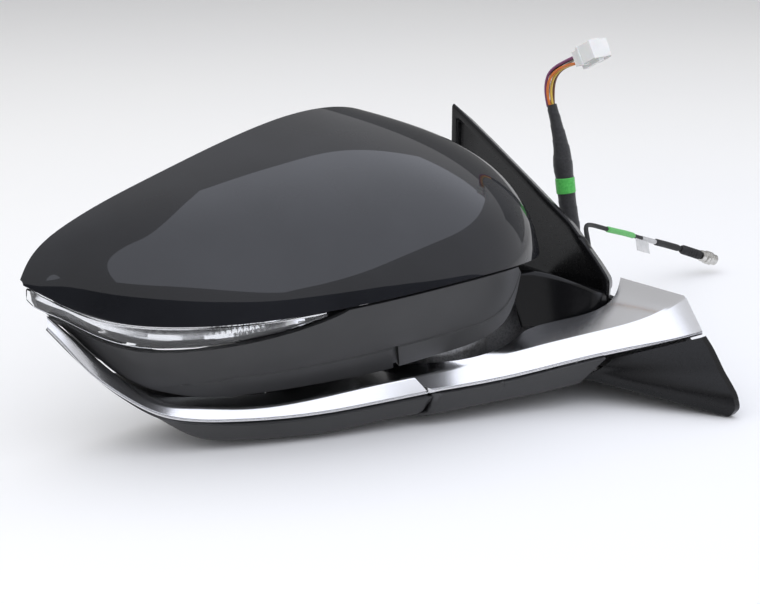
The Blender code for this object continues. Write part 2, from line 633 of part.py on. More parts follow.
def head_lower_cover(look, head):
    t = np.linspace(0.02, 1, 22)
    top = inward(spline(STRIP_EDGE, t), 0.6, 1.8)
    low = spline(COVER_EDGE, t)
    rear = spline(COVER_REAR, t)
    bend = low + (rear - low) * 0.05 - [0, 0, 0.4]
    half = low + (rear - low) * 0.5 - [0, 0, 2.0]
    near = low + (rear - low) * 0.85 - [0, 0, 0.8]
    grid = np.stack([top, (top + low) / 2, low, bend, half, near, rear], axis=1)
    cover = cut_outside_seam(shell("head_lower_cover", grid, -2.0 * normals(grid), look, head))
    holes = [cutter("camera_hole", CAMERA, 9.4, -60, 40), cutter("lamp_hole", GROUND_LAMP, 11.4, -60, 40)]
    return boolean(cover, "DIFFERENCE", holes)


def cut_outside_seam(obj):
    radius = SPLIT_R + SPLIT_GAP / 2
    return boolean(obj, "DIFFERENCE", [cutter("head_seam_" + obj.name, PIVOT, radius, -60, 60, count=64)])


def polar_loop(points, centre, angles):
    """A closed outline read at even turns about a centre: one (a, b, rest) row for each angle."""
    p = np.asarray(points, float)
    turn = np.arctan2(p[:, 1] - centre[1], p[:, 0] - centre[0])
    order = np.argsort(turn)
    reach = np.hypot(p[:, 0] - centre[0], p[:, 1] - centre[1])
    r = np.interp(angles, turn[order], reach[order], period=2 * math.pi)
    found = [centre[0] + r * np.cos(angles), centre[1] + r * np.sin(angles)]
    for k in range(2, p.shape[1]):
        found.append(np.interp(angles, turn[order], p[order, k], period=2 * math.pi))
    return np.stack(found, axis=1)


def rim_loop(distance, angles):
    """The head's rear rim moved in by a distance, as X, Z and Y at each angle."""
    t = np.linspace(0, 1, 90)
    loop = np.concatenate([spline(RIM_TOP, t), spline(RIM_LOW, t)[::-1][1:-1]])
    flat = inset(loop[:, [0, 2]], distance)
    return polar_loop(np.column_stack([flat, loop[:, 1]]), GLASS_CENTRE, angles)


def glass_loop(distance, angles):
    """The glass outline, grown by a distance, as X and Z at each angle."""
    closed = [(x, z, 0) for x, z in GLASS + GLASS[:3]]
    line = spline(closed, np.linspace(0, 1, 200))[:, :2]
    loop = polar_loop(line, GLASS_CENTRE, angles)
    return inset(loop, -distance)


def glass_surround(look, head):
    outer_rear, outer_front = rim_loop(4.0, GLASS_TURNS), rim_loop(4.6, GLASS_TURNS)
    rings = [
        np.column_stack([outer_rear[:, 0], outer_rear[:, 2] - 0.8, outer_rear[:, 1]]),
        at_depth(glass_loop(3.6, GLASS_TURNS), 127 - 0.8),
        at_depth(glass_loop(3.0, GLASS_TURNS), 115),
        at_depth(glass_loop(4.3, GLASS_TURNS), 115),
        at_depth(glass_loop(5.2, GLASS_TURNS), 127 - 3.0),
        np.column_stack([outer_front[:, 0], outer_front[:, 2] - 3.0, outer_front[:, 1]])]
    return loft("glass_surround", rings, look, head, closed=True)


def at_depth(flat, y):
    return np.column_stack([flat[:, 0], np.full(len(flat), y), flat[:, 1]])


# The head's inside

def head_frame(look, head):
    deck = prism("head_frame", [(-150, 46), (-120, 34), (-92, 28), (-70, 33), (-54, 50), (-49, 68),
                                (-54, 90), (-68, 100), (-95, 96), (-118, 90), (-124, 80.5),
                                (-150, 80.5)], 36, 39.5, "Z", look, head)
    well = well_wall()
    boss = cylinder("frame_boss", PIVOT, 20, 35.2, 45, "Z", None)
    web = block("frame_web", (-205, 78, 8), (-128, 81, 66), None)
    boolean(deck, "UNION", [well, boss, web])
    holes = [cutter("frame_post_hole", PIVOT, POST_R + 0.4, 20, 60)]
    for number, (x, z) in enumerate(FRAME_SCREWS, 1):
        holes.append(cutter(f"screw_hole_{number}", (x, z), 2.3, 60, 90, "Y", 16))
    return boolean(deck, "DIFFERENCE", holes)


def well_wall():
    outer, inner = arc(30.5, 104, 212, 18), arc(28.0, 212, 104, 18)
    return prism("frame_well", outer + inner, 4, 38, "Z", None)


def screws(look, head):
    """Screws through the frame's web, with their heads on its front."""
    for number, spot in enumerate(FRAME_SCREWS, 1):
        profile = [(2.0, 81.0), (2.0, 77.6), (4.2, 77.6), (4.2, 75.0), (3.4, 74.4)]
        turned(f"frame_screw_{number}", spot, profile, "Y", look, head, count=16)


def fold_drive(case_look, metal, worm_look, head, worm_axis):
    case = block("fold_drive_case", (-129, 37.5, 46.6), (-70, 78, 66), case_look, head, radius=6)
    gear_room = cutter("gear_room", PIVOT, 18.6, 40, 62.6)
    worm_room = block("worm_room", (-122, 40.5, 40), (-103, 75.6, 60), None)
    post_room = cutter("post_room", PIVOT, POST_R + 0.6, 40, 80)
    boolean(case, "DIFFERENCE", [gear_room, worm_room, post_room])
    cylinder("fold_motor", (WORM_X, DRIVE_Z), 4.2, 62.2, 74.8, "Y", metal, head, count=20, chamfer=0.8)
    worm("fold_worm", 42, 61.6, worm_look, worm_axis)


def worm(name, start, end, look, parent):
    """A shaft along Y with a one-start thread whose pitch is the gear's."""
    pitch = math.pi * (GEAR_ROOT + GEAR_TIP) / GEAR_TEETH
    turn = np.arange(14) * 2 * math.pi / 14
    rings = []
    for level in np.linspace(start, end, 45):
        phase = (level / pitch - turn / (2 * math.pi)) % 1
        ridge = np.clip(1.6 - 4 * abs(phase - 0.5), 0, 1)
        fade = min(1, (level - start) / 2, (end - level) / 2)
        radius = WORM_CORE + (WORM_R - WORM_CORE) * ridge * fade
        rings.append(place(np.column_stack([radius * np.cos(turn), radius * np.sin(turn)])
                           + (WORM_X, DRIVE_Z), level, "Y"))
    return loft(name, rings, look, parent)


def glass_drive(case_look, metal, head, pan, tilt, pushers, mirror_look, heater_look, carrier_look):
    x, z = GLASS_CENTRE
    case = actuator_half("actuator_case", 81.4, 95.0, case_look, head)
    room = block("actuator_room", (x - 34, 83.6, z - 25.6), (x + 34, 96, z + 25.6), None)
    boolean(case, "DIFFERENCE", [room])
    cover = actuator_half("actuator_cover", 95.4, 98.6, case_look, head)
    for number, dz in enumerate((14, -11), 1):
        cylinder(f"glass_motor_{number}", (89.4, z + dz), 5.2, x - 16, x + 14, "X", metal, head, 18, 0.8)
    holes = [cutter("pan_rod_hole", (x - PAN_LEVER, z), 3.6, 90, 104, "Y", 16),
             cutter("tilt_rod_hole", (x, z - TILT_LEVER), 3.6, 90, 104, "Y", 16)]
    boolean(cover, "DIFFERENCE", holes)
    for side in (1, -1):
        lug = block(f"case_lug_{side}", (x - 3, 97, z + side * 17.7 - 0.9),
                    (x + 3, 109.6, z + side * 17.7 + 0.9), None)
        boolean(cover, "UNION", [lug])
    ring("tilt_ring", GLASS_CENTRE, 11.5, 16, GLASS_AXIS_Y - 1.5, GLASS_AXIS_Y + 1.5, "Y", metal, pan)
    rods = (("pan_rod", (x - PAN_LEVER, z)), ("tilt_rod", (x, z - TILT_LEVER)))
    for (name, spot), pusher in zip(rods, pushers):
        cylinder(name, spot, 3.0, 95.6, 112.2, "Y", carrier_look, pusher, count=16, chamfer=0.8)
    glass_stack(tilt, carrier_look, heater_look, mirror_look)


def actuator_half(name, low, high, look, head):
    x, z = GLASS_CENTRE
    return prism(name, rounded((x, z), 36, 28, 8), low, high, "Y", look, head)


def glass_stack(tilt, carrier_look, heater_look, mirror_look):
    x, z = GLASS_CENTRE
    carrier = stack_plate("glass_carrier", -3.0, 113.2, 115.2, carrier_look, tilt)
    for side in (1, -1):
        middle = x + side * 20.5
        lug = block(f"carrier_lug_{side}", (middle - 2, 107, z - 3), (middle + 2, 114, z + 3), None)
        boolean(carrier, "UNION", [lug])
    stack_plate("heater_pad", -4.0, 115.5, 116.0, heater_look, tilt)
    rings = [at_depth(glass_loop(-d, GLASS_TURNS), y) for d, y in (
        (0.4, GLASS_Y), (0, GLASS_Y + 0.4), (0, GLASS_Y + GLASS_THICK - 0.6), (0.6, GLASS_Y + GLASS_THICK))]
    loft("mirror_glass", rings, mirror_look, tilt)


def stack_plate(name, grow, low, high, look, parent):
    loop = glass_loop(grow, GLASS_TURNS)
    return loft(name, [at_depth(loop, low), at_depth(loop, high)], look, parent)


def under_head(case_look, lens_look, clear, head):
    """The camera and the ground lamp, set in the lower cover."""
    turned("camera_body", CAMERA, [(9.0, -23.5), (9.0, -14), (7, -12.5)], "Z", case_look, head)
    turned("camera_lens", CAMERA, [(2.0, -26.6), (5.4, -25.6), (6.4, -23.9)], "Z", lens_look, head, count=24)
    turned("ground_lamp", GROUND_LAMP, [(10.6, -20.6), (10.6, -8), (8, -3)], "Z", case_look, head)
    turned("ground_lamp_lens", GROUND_LAMP, [(8.0, -24.2), (11.0, -23.2), (11.0, -21)], "Z", clear, head)


def main():
    for obj in list(bpy.data.objects):
        bpy.data.objects.remove(obj)
    black = material("black_cover", (0.012, 0.012, 0.014), 0.35)
    cast = material("cast_alloy", (0.35, 0.35, 0.36), 0.55, 1.0)
    steel = material("steel", (0.55, 0.55, 0.56), 0.35, 1.0)
    silver = material("satin_silver", (0.62, 0.62, 0.63), 0.3, 1.0)
    grey = material("textured_grey", (0.045, 0.045, 0.047), 0.6)
    paint = material("dark_paint", (0.03, 0.032, 0.036), 0.12)
    rubber = material("rubber", (0.02, 0.02, 0.02), 0.8)
    nylon = material("nylon", (0.08, 0.08, 0.085), 0.5)
    brass = material("brass", (0.7, 0.5, 0.2), 0.35, 1.0)
    clear = material("clear_lens", (0.9, 0.9, 0.92), 0.05)
    chrome = material("chrome", (0.9, 0.9, 0.9), 0.08, 1.0)
    board = material("board", (0.02, 0.2, 0.06), 0.5)
    mirror = material("mirror", (0.85, 0.87, 0.9), 0.02, 1.0)
    foil = material("heater_foil", (0.5, 0.3, 0.1), 0.6)
    tape = material("cloth_tape", (0.02, 0.02, 0.022), 0.85)
    white = material("white_plastic", (0.85, 0.85, 0.83), 0.4)
    wires = [material(f"wire_{name}", colour, 0.45) for name, colour in (
        ("orange", (0.8, 0.25, 0.03)), ("yellow", (0.8, 0.6, 0.1)), ("brown", (0.25, 0.1, 0.04)),
        ("violet", (0.3, 0.12, 0.4)), ("black", (0.02, 0.02, 0.02)), ("grey", (0.6, 0.6, 0.6)))]
    base_bracket(cast)
    studs(steel)
    pivot(steel, brass, steel)
    arm_trim(silver)
    foot_lower_cover(grey)
    toe_cover(black)
    sail_cover(black)
    neck_cover(black)
    door_gasket(rubber)
    harness(rubber, tape, wires, white, rubber, steel)
    head = empty("head", (*PIVOT, 0))
    cap(paint, head)
    lower_housing(grey, head)
    lens_patch("lamp_lens", 0, 1.6, clear, head)
    lens_patch("lamp_reflector", 4.0, 1.2, chrome, head, ends=(0.08, 0.46))
    lens_patch("lamp_board", 6.4, 1.2, board, head, ends=(0.10, 0.42))
    head_trim(silver, head)
    head_lower_cover(grey, head)
    glass_surround(black, head)
    head_frame(nylon, head)
    screws(steel, head)
    worm_axis = empty("worm_axis", (WORM_X, 50, DRIVE_Z), head)
    fold_drive(nylon, steel, steel, head, worm_axis)
    centre = (GLASS_CENTRE[0], GLASS_AXIS_Y, GLASS_CENTRE[1])
    pan = empty("pan_axis", centre, head)
    tilt = empty("tilt_axis", centre, pan)
    pushers = [empty("pan_slide", centre, head), empty("tilt_slide", centre, head)]
    glass_drive(nylon, steel, head, pan, tilt, pushers, mirror, foil, nylon)
    under_head(nylon, clear, clear, head)


main()
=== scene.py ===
"""Looks of the powered door mirror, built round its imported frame.

Shape numbers are in millimetres in the part's own frame: the origin is on the door face, +X points
into the door, +Y to the back of the car and +Z up. add_mesh turns them into metres.
"""

import math

import bmesh
import bpy
import numpy as np
from mathutils import Matrix, Vector


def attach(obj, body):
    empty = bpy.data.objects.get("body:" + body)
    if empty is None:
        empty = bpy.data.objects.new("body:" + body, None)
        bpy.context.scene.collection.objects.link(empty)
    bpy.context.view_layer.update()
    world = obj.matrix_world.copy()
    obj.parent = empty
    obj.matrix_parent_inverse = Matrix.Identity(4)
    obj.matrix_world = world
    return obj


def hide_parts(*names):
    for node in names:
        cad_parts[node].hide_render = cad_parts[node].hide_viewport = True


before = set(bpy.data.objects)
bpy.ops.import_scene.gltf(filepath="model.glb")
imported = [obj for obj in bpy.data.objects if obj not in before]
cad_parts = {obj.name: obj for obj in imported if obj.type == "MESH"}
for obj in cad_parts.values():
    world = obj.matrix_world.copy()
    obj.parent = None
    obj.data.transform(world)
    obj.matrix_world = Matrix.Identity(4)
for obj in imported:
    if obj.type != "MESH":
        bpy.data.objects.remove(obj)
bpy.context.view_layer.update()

MM = 0.001
SCENE = bpy.context.scene

# The view
VIEW_AZIMUTH, VIEW_ELEVATION = math.radians(-42), math.radians(18)
VIEW_DISTANCE = 0.895
LENS_MM = 80.55
ORIGIN_ASIDE = (0.1529, -0.0165)    # where the frame's origin stands in view, per metre of distance
FLOOR_Z = -29.8

# The stage, in metres: outlines are (right, away) of the camera's own heading from the origin
FLOOR_SIDE, FLOOR_NEAR, FLOOR_FAR, FLOOR_BEND = 4, -0.42, 1.6, 0.5
PANEL = ((-0.25, -1.6), (0.4, -1.6), (0.4, 0.45), (0.05, 0.45), (-0.25, 0.15))
PANEL_HEIGHT, PANEL_GLOW, PANEL_COLOUR = 0.5, 1.5, (0.93, 0.96, 1.06)
FILL = ((-1.3, -1.6), (1.3, -1.6), (1.3, 0.9), (-1.3, 0.9))
FILL_HEIGHT, FILL_GLOW = 1.1, 1.6
ROOM_GLOW = 0.6
WALL_SIDE, WALL_AWAY, WALL_HEIGHT, WALL_GLOW = 3, 2.2, 1.4, 0.2
CLOTH_NEAR, CLOTH_FAR, CLOTH_DROP = -0.425, -2.1, 0.004
CLOTH_TOPS = ((-1.6, 0.02), (-0.8, 0.12), (0, 0.30), (0.8, 0.42), (1.6, 0.5), (2.4, 0.5))

# Driving dimensions, as in the part
PIVOT = (-90.0, 57.0)
SPLIT_R, SPLIT_GAP = 45.5, 1.2
GLASS_CENTRE = (-166.0, 52.0)
GLASS_FRONT = 119.4
GLASS_THICK = 3.0
SKIN = 2.5
SAIL_BACK, SAIL_FACE = -4.5, -10.0
CAP_CROWN = 12.0
LENS_END, LENS_DEPTH, LENS_SEAM = 0.60, 0.27, 1.3
TURNS = np.linspace(-math.pi, math.pi, 224, endpoint=False)
BOX_FACES = [(0, 1, 3, 2), (4, 6, 7, 5), (0, 4, 5, 1), (2, 3, 7, 6), (0, 2, 6, 4), (1, 5, 7, 3)]

# Lines of the head, each from the outboard tip inwards
RIM_TOP = [(-293, 127, 57.5), (-286.5, 128, 67), (-264, 128, 81), (-218, 128, 95), (-160, 128, 109),
           (-112, 127, 114.5), (-84, 124, 110), (-61, 116, 92), (-52, 110, 70)]
RIM_LOW = [(-293, 127, 57.5), (-290, 128, 46.5), (-278, 128, 32.5), (-255, 128, 7.5), (-225, 128, -4),
           (-180, 128, -8), (-140, 128, -8), (-112, 128, -2), (-96, 127, 12), (-84, 125, 30),
           (-68, 118, 48), (-52, 110, 70)]
NOSE = [(-293, 127, 57.5), (-287.5, 120, 53.5), (-278, 112, 46.5), (-266, 101, 40.3), (-241, 80, 36.2),
        (-210, 56, 37.6), (-185, 42, 40), (-150, 27, 43.8), (-115, 19, 46.3), (-85, 17, 47),
        (-57, 25, 44.5), (-35.5, 41, 42.5), (-25, 62, 46.5), (-31, 89, 57.5), (-52, 110, 70)]
NOSE_FRONT = NOSE[:10] + [(-70, 20.5, 46)]
BELLY = [(-292, 127.5, 51), (-286, 125, 42.5), (-275, 122, 33.5), (-262, 114, 17), (-247, 103.5, 2.2),
         (-227, 89, -4), (-200, 74, -5), (-165, 58, -3), (-138, 46, 0), (-112, 35, 5),
         (-94, 28, 9), (-78, 23.5, 18), (-73, 21.8, 29), (-70, 20.5, 46)]
LEDGE = [(0.06, 0.97), (0.26, 0.94), (0.32, 0.81), (0.4, 0.7), (0.68, 0.66), (0.82, 0.7), (0.98, 0.84)]
SLOT_U, SLOT_STEP, SLOT_DEPTH = (0.68, 0.69), 0.0006, 2.0
STRIP_EDGE = [(-284.5, 118.5, 39.5), (-279, 113, 30.5), (-273, 107, 20), (-259, 96, 4), (-246, 87, -6),
              (-232, 79, -11), (-208, 65, -13.5), (-173, 48, -13.5), (-150, 38.5, -12),
              (-120, 26, -9.5)]
STRIP_CREASE = [(-283, 121, 40), (-277, 116, 32), (-269, 109.5, 20.5), (-255, 98.5, 3), (-242, 89.5, -5),
                (-229, 82, -7.5), (-206, 68.5, -9.5), (-170, 52, -7.5), (-149, 42.5, -5),
                (-118, 29.5, -2.5)]
STRIP_SHELF = [(0, 1, 0), (0.25, 7.5, 0.8), (0.5, 16, 0.4), (1, 16, 0.4)]
TRIM_REACHES = [0.2, 0.25, 0.12, 0.12, 0.2, 1.1]
COVER_EDGE = [(-277, 125, 34), (-273, 120, 27.5), (-265.5, 112, 14), (-252, 100, -2.5), (-242, 91, -11),
              (-229, 81, -20.5), (-206, 68.5, -24.5), (-171, 51.5, -25), (-150, 42.5, -23),
              (-120, 30, -21)]
COVER_REAR = [(-281, 128, 36)] + RIM_LOW[2:7] + [(-104, 128, -5)]

# Lines of the foot, from the seam to the door
FOOT_EDGE = [(-140, 36, -11), (-125, 28, -9.5), (-86, 11.5, -7), (-53, -4, -2), (-25, -21, 3),
             (-9, -33, 6.5), (-1, -41, 10)]
FOOT_CREASE = [(-140, 46, -7), (-126, 38, -5), (-103, 27, -2), (-69, 13, 3), (-37, -4, 9),
               (-19, -15, 13.5), (-9, -22, 18.5), (-1, -29, 26)]
FOOT_REAR = [(-140, 56, -4), (-124, 48, -2), (-110, 35, -0.5), (-90, 24.5, 2), (-72, 25, 4),
             (-58, 28, 6), (-40, 21.5, 9), (-20, 11.5, 13.5), (-9, 11, 18), (-1, 14, 26)]
FOOT_BOTTOM = [(-140, 36, -22.5), (-118, 27, -21.5), (-84, 13, -19), (-62, 3.5, -17), (-50, -1.5, -15.5)]
FOOT_UNDER = [(-140, 98, -20), (-112, 100, -19), (-84, 98, -17.5), (-62, 88, -16), (-51, 84, -15)]
FOOT_DECK = [(-140, 60, -3), (-122, 68, -2.2), (-104, 84, -1.2), (-82, 85, -1), (-62, 84, -1), (-51, 80, -1)]

GLASS = [(-255, 58), (-246, 71), (-214, 84), (-165, 96), (-118, 101), (-95, 96), (-84, 82), (-80, 62),
         (-87, 40), (-106, 20), (-140, 9), (-185, 6), (-222, 13), (-247, 34)]
SAIL = [(134, 103), (107, 88.3), (75, 70.2), (43, 51.6), (23, 34.4), (14.5, 26), (15, 12), (60, 8), (134, 8)]
TOE = [(-43, 8), (-48, 3), (-57, -9), (-66, -20), (-66.5, -26), (-63, -29.5)]
TOE_FAR = [(-36, -13, -3.6), (-38, -11.5, -6), (-40.5, -9.5, -8.5), (-42.5, -7, -10.5), (-44.5, -4.5, -12.5),
           (-45.5, -2.5, -14), (-46, -0.5, -15), (-46, 1.5, -15.6), (-46, 14, -15.8), (-46, 40, -15.6),
           (-46, 66, -15.2)]
NECK = {-6: (14, 16, 18, 66), -20: (13, 16, 23, 69), -30: (17.5, 21, 28, 72), -45: (25, 35, 33.5, 78),
        -58: (30, 42, 34, 80)}   # X: front Y, crease Y, top Z, rear Y
STUDS = [(-24, -8), (46, -9), (118, 64)]
HARNESS_EXIT, LEAD_EXIT = (60, 30), (42, 24)
CAMERA_EYE, GROUND_LAMP = (-205.0, 92.0), (-165.0, 92.0)

# Wiring
SLEEVE = [(7.4, 60, 30), (12.5, 61.2, 34), (15, 64.5, 44), (15, 68, 58), (15, 69.8, 68),
          (15, 71.5, 78), (15, 75, 90), (15, 81, 106)]
SLEEVE_RADII = [(0, 4.4), (0.2, 4.7), (0.42, 4.8), (0.58, 4.9), (0.68, 4.5), (0.76, 3.9), (0.88, 3.1),
                (1, 2.6)]
WIRE_PATH = [(15, 82.5, 114), (15, 80, 122), (15, 72, 129)]
SLEEVE_END, CONNECTOR_FACE = (15, 81.5, 108), (15, 62.5, 133.2)
WIRE_STARTS = [(-1.4, -0.8, -3), (0, -1.6, -3), (1.4, -0.8, -3), (-1.4, 0.9, -3), (0, 1.6, -3),
               (1.4, 0.9, -3)]
WIRE_ENDS = [(-3.4, -0.5, -1.6), (0, -0.5, -1.6), (3.4, -0.5, -1.6), (-3.4, 0.8, 1.6), (0, 0.8, 1.6),
             (3.4, 0.8, 1.6)]
WIRE_STRAYS = (1, 1, 1, 1, 0.4, -1.5)
PLUG_START, PLUG_END = (168.4, 105.9, -11.2), (194.0, 98.0, -21.9)
LEAD = [(4.4, 42, 24), (10, 46, 31), (20, 57, 38), (38, 70, 36), (62, 78, 27.5), (92, 88, 17), (116, 96, 8),
        (138, 101.5, 0), (156, 105.5, -6.5), (168, 106, -11)]


# Curves and surfaces

def knot_shares(points):
    """Where spline() has its knots, as shares of the whole run."""
    step = np.linalg.norm(np.diff(points, axis=0), axis=1)
    return np.concatenate([[0], np.cumsum(step)]) / step.sum()


def spline(points, t):
    """Natural cubic spline through the points, with chord-length knots, at each t from 0 to 1."""
    p = np.array(points, float)
    knots = knot_shares(p)
    h = np.diff(knots)
    last = len(p) - 1
    rows = np.eye(len(p))
    right = np.zeros_like(p)
    for i in range(1, last):
        rows[i, i - 1:i + 2] = h[i - 1], 2 * (h[i - 1] + h[i]), h[i]
        right[i] = 6 * ((p[i + 1] - p[i]) / h[i] - (p[i] - p[i - 1]) / h[i - 1])
    bend = np.linalg.solve(rows, right)
    t = np.clip(np.atleast_1d(t), 0, 1)
    i = np.clip(np.searchsorted(knots, t, side="right") - 1, 0, last - 1)
    b = ((t - knots[i]) / h[i])[:, None]
    a = 1 - b
    square = (h[i] ** 2)[:, None]
    return a * p[i] + b * p[i + 1] + ((a ** 3 - a) * bend[i] + (b ** 3 - b) * bend[i + 1]) * square / 6


def bezier(a, b, c, d, v):
    v = np.asarray(v)[..., None]
    return (1 - v) ** 3 * a + 3 * (1 - v) ** 2 * v * b + 3 * (1 - v) * v ** 2 * c + v ** 3 * d


def cap_grid(u, v):
    """Outer surface of the cap: v runs from the rear rim at 0 to the nose line at 1."""
    rim = spline(RIM_TOP, u)[:, None]
    nose = spline(NOSE, u)[:, None]
    span = nose - rim
    run = np.linalg.norm(span[..., :2], axis=2)
    over = rim + span * [0.6, 0.6, 0]
    fall = -0.5 * span[..., 2].clip(max=0)
    over[..., 2] -= np.minimum(math.tan(math.radians(CAP_CROWN)) * 0.6 * run, fall)
    front = nose - span * [0.06, 0.06, 0.55]
    return bezier(rim, over, front, nose, v[None, :])


def wall_grid(u, v):
    """Outer surface of the housing wall: v runs from the nose line at 0 to the belly at 1."""
    nose = spline(NOSE_FRONT, u)[:, None]
    belly = spline(BELLY, u)[:, None]
    span = belly - nose
    upper = nose + span * [0.04, 0.04, 0.35]
    lower = belly - span * [0.40, 0.40, 0.30]
    return bezier(nose, upper, lower, belly, v)


def lens_share(u):
    """Share of the wall's height that the lamp lens takes at u."""
    share = LENS_DEPTH * np.clip(1 - (u / LENS_END) ** 3, 0, 1) ** 0.8 + 0.9 * np.exp(-u / 0.11)
    return np.minimum(share, 0.95)


def seam_share(u):
    """Share of the wall's height that the lens's seam takes at u."""
    return LENS_SEAM / np.linalg.norm(spline(BELLY, u) - spline(NOSE_FRONT, u), axis=1)


def inward(line, offset, drop=0.0):
    """The line moved sideways in plan, to the left of its run, and down."""
    run = np.gradient(line, axis=0)
    side = np.stack([-run[:, 1], run[:, 0], 0 * run[:, 0]], axis=1)
    side /= np.linalg.norm(side, axis=1)[:, None]
    moved = line + side * np.reshape(offset, (-1, 1))
    moved[:, 2] -= drop
    return moved


def normals(grid):
    normal = np.cross(np.gradient(grid, axis=0), np.gradient(grid, axis=1))
    return normal / (np.linalg.norm(normal, axis=2)[..., None] + 1e-9)


def soft_section(lines, reaches, steps=5):
    """A grid across the lines, one row for each station, with the corner at each inner line rounded."""
    grid = [lines[0]]
    for before, corner, after, reach in zip(lines, lines[1:], lines[2:], reaches):
        ends = []
        for other in (before, after):
            away = other - corner
            length = np.linalg.norm(away, axis=1)[:, None]
            ends.append(corner + away * np.minimum(reach / (length + 1e-9), 0.46))
        for v in np.linspace(0, 1, steps):
            grid.append((1 - v) ** 2 * ends[0] + 2 * (1 - v) * v * corner + v * v * ends[1])
    grid.append(lines[-1])
    return np.stack(grid, axis=1)


def cut_at_seam(grid, radius, keep_start):
    """The grid with every line cut where it comes inside this radius of the fold axis."""
    stations = np.arange(len(grid), dtype=float)
    out = np.empty_like(grid)
    for j in range(grid.shape[1]):
        line = grid[:, j]
        reach = np.hypot(line[:, 0] - PIVOT[0], line[:, 1] - PIVOT[1])
        inside = np.nonzero(reach < radius)[0]
        cut = 0.0 if not keep_start else stations[-1]
        if len(inside) and inside[0] > 0:
            k = inside[0]
            cut = k - 1 + (reach[k - 1] - radius) / (reach[k - 1] - reach[k])
        ends = (0, cut) if keep_start else (cut, stations[-1])
        at = np.linspace(*ends, len(grid))
        for axis in range(3):
            out[:, j, axis] = np.interp(at, stations, line[:, axis])
    return out


def t_at(line, x):
    t = np.linspace(0, 1, 400)
    return float(np.interp(x, spline(line, t)[:, 0], t))


def line_length(line):
    return np.linalg.norm(np.diff(line, axis=0), axis=1).sum()


def inset(points, distance):
    """A closed outline moved inwards, in its own plane."""
    p = np.asarray(points, float)
    run = np.roll(p, -1, axis=0) - np.roll(p, 1, axis=0)
    run /= np.linalg.norm(run, axis=1)[:, None]
    normal = np.stack([-run[:, 1], run[:, 0]], axis=1)
    area = np.sum(p[:, 0] * np.roll(p[:, 1], -1) - np.roll(p[:, 0], -1) * p[:, 1])
    return p + normal * distance * math.copysign(1, area)


def polar_loop(points, centre, angles):
    """A closed outline read at even turns about a centre: one (a, b, rest) row for each angle."""
    p = np.asarray(points, float)
    turn = np.arctan2(p[:, 1] - centre[1], p[:, 0] - centre[0])
    order = np.argsort(turn)
    reach = np.hypot(p[:, 0] - centre[0], p[:, 1] - centre[1])
    r = np.interp(angles, turn[order], reach[order], period=2 * math.pi)
    found = [centre[0] + r * np.cos(angles), centre[1] + r * np.sin(angles)]
    for k in range(2, p.shape[1]):
        found.append(np.interp(angles, turn[order], p[order, k], period=2 * math.pi))
    return np.stack(found, axis=1)


def corner_loop(corners, distance, reach, per_corner=7, per_edge=12):
    """An outline moved in by a distance with its corners rounded; every distance gives the same count."""
    p = np.array(corners, float)
    area = np.sum(p[:, 0] * np.roll(p[:, 1], -1) - np.roll(p[:, 0], -1) * p[:, 1])
    run = np.roll(p, -1, axis=0) - p
    run /= np.linalg.norm(run, axis=1)[:, None]
    normal = np.stack([-run[:, 1], run[:, 0]], axis=1) * math.copysign(1, area)
    before = np.roll(normal, 1, axis=0)
    moved = p + distance * (normal + before) / (1 + np.sum(normal * before, axis=1))[:, None]
    found = []
    for a, b, c, d in zip(*(np.roll(moved, shift, axis=0) for shift in (1, 0, -1, -2))):
        near = min(reach, 0.4 * np.linalg.norm(b - a), 0.4 * np.linalg.norm(c - b))
        start = b + (a - b) / np.linalg.norm(a - b) * near
        end = b + (c - b) / np.linalg.norm(c - b) * near
        for v in np.linspace(0, 1, per_corner):
            found.append((1 - v) ** 2 * start + 2 * (1 - v) * v * b + v * v * end)
        ahead = min(reach, 0.4 * np.linalg.norm(c - b), 0.4 * np.linalg.norm(d - c))
        stop = c + (b - c) / np.linalg.norm(b - c) * ahead
        for v in np.linspace(0, 1, per_edge + 1)[1:-1]:
            found.append(end + (stop - end) * v)
    return np.array(found)


# Meshes

def quads(rows, columns, wrap_rows=False, wrap_columns=False):
    found = []
    for i in range(rows if wrap_rows else rows - 1):
        for j in range(columns if wrap_columns else columns - 1):
            k = (i + 1) % rows
            m = (j + 1) % columns
            found.append((i * columns + j, i * columns + m, k * columns + m, k * columns + j))
    return found


def add_mesh(name, points, faces, look, body, replaces=(), slot=None, bevel=0.0):
    """A piece from millimetre points, riding on a body, with its faces turned outwards."""
    mesh = bpy.data.meshes.new(name)
    mesh.from_pydata((np.asarray(points, float) * MM).tolist(), [], faces)
    work = bmesh.new()
    work.from_mesh(mesh)
    bmesh.ops.remove_doubles(work, verts=work.verts, dist=2e-6)
    bmesh.ops.recalc_face_normals(work, faces=work.faces)
    work.to_mesh(mesh)
    work.free()
    mesh.shade_smooth()
    obj = bpy.data.objects.new(name, mesh)
    SCENE.collection.objects.link(obj)
    if bevel:
        add_bevel(obj, bevel)
    else:
        mesh.set_sharp_from_angle(angle=math.radians(38))
    mesh.materials.append(look)
    return settle(obj, body, replaces)


def add_bevel(obj, width, segments=3):
    modifier = obj.modifiers.new("Edge", "BEVEL")
    modifier.width = width * MM
    modifier.segments = segments
    modifier.limit_method = "ANGLE"
    modifier.angle_limit = math.radians(42)
    obj.modifiers.new("Shade", "WEIGHTED_NORMAL")


def settle(obj, body, replaces=()):
    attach(obj, body)
    if replaces:
        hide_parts(*replaces)
    return obj


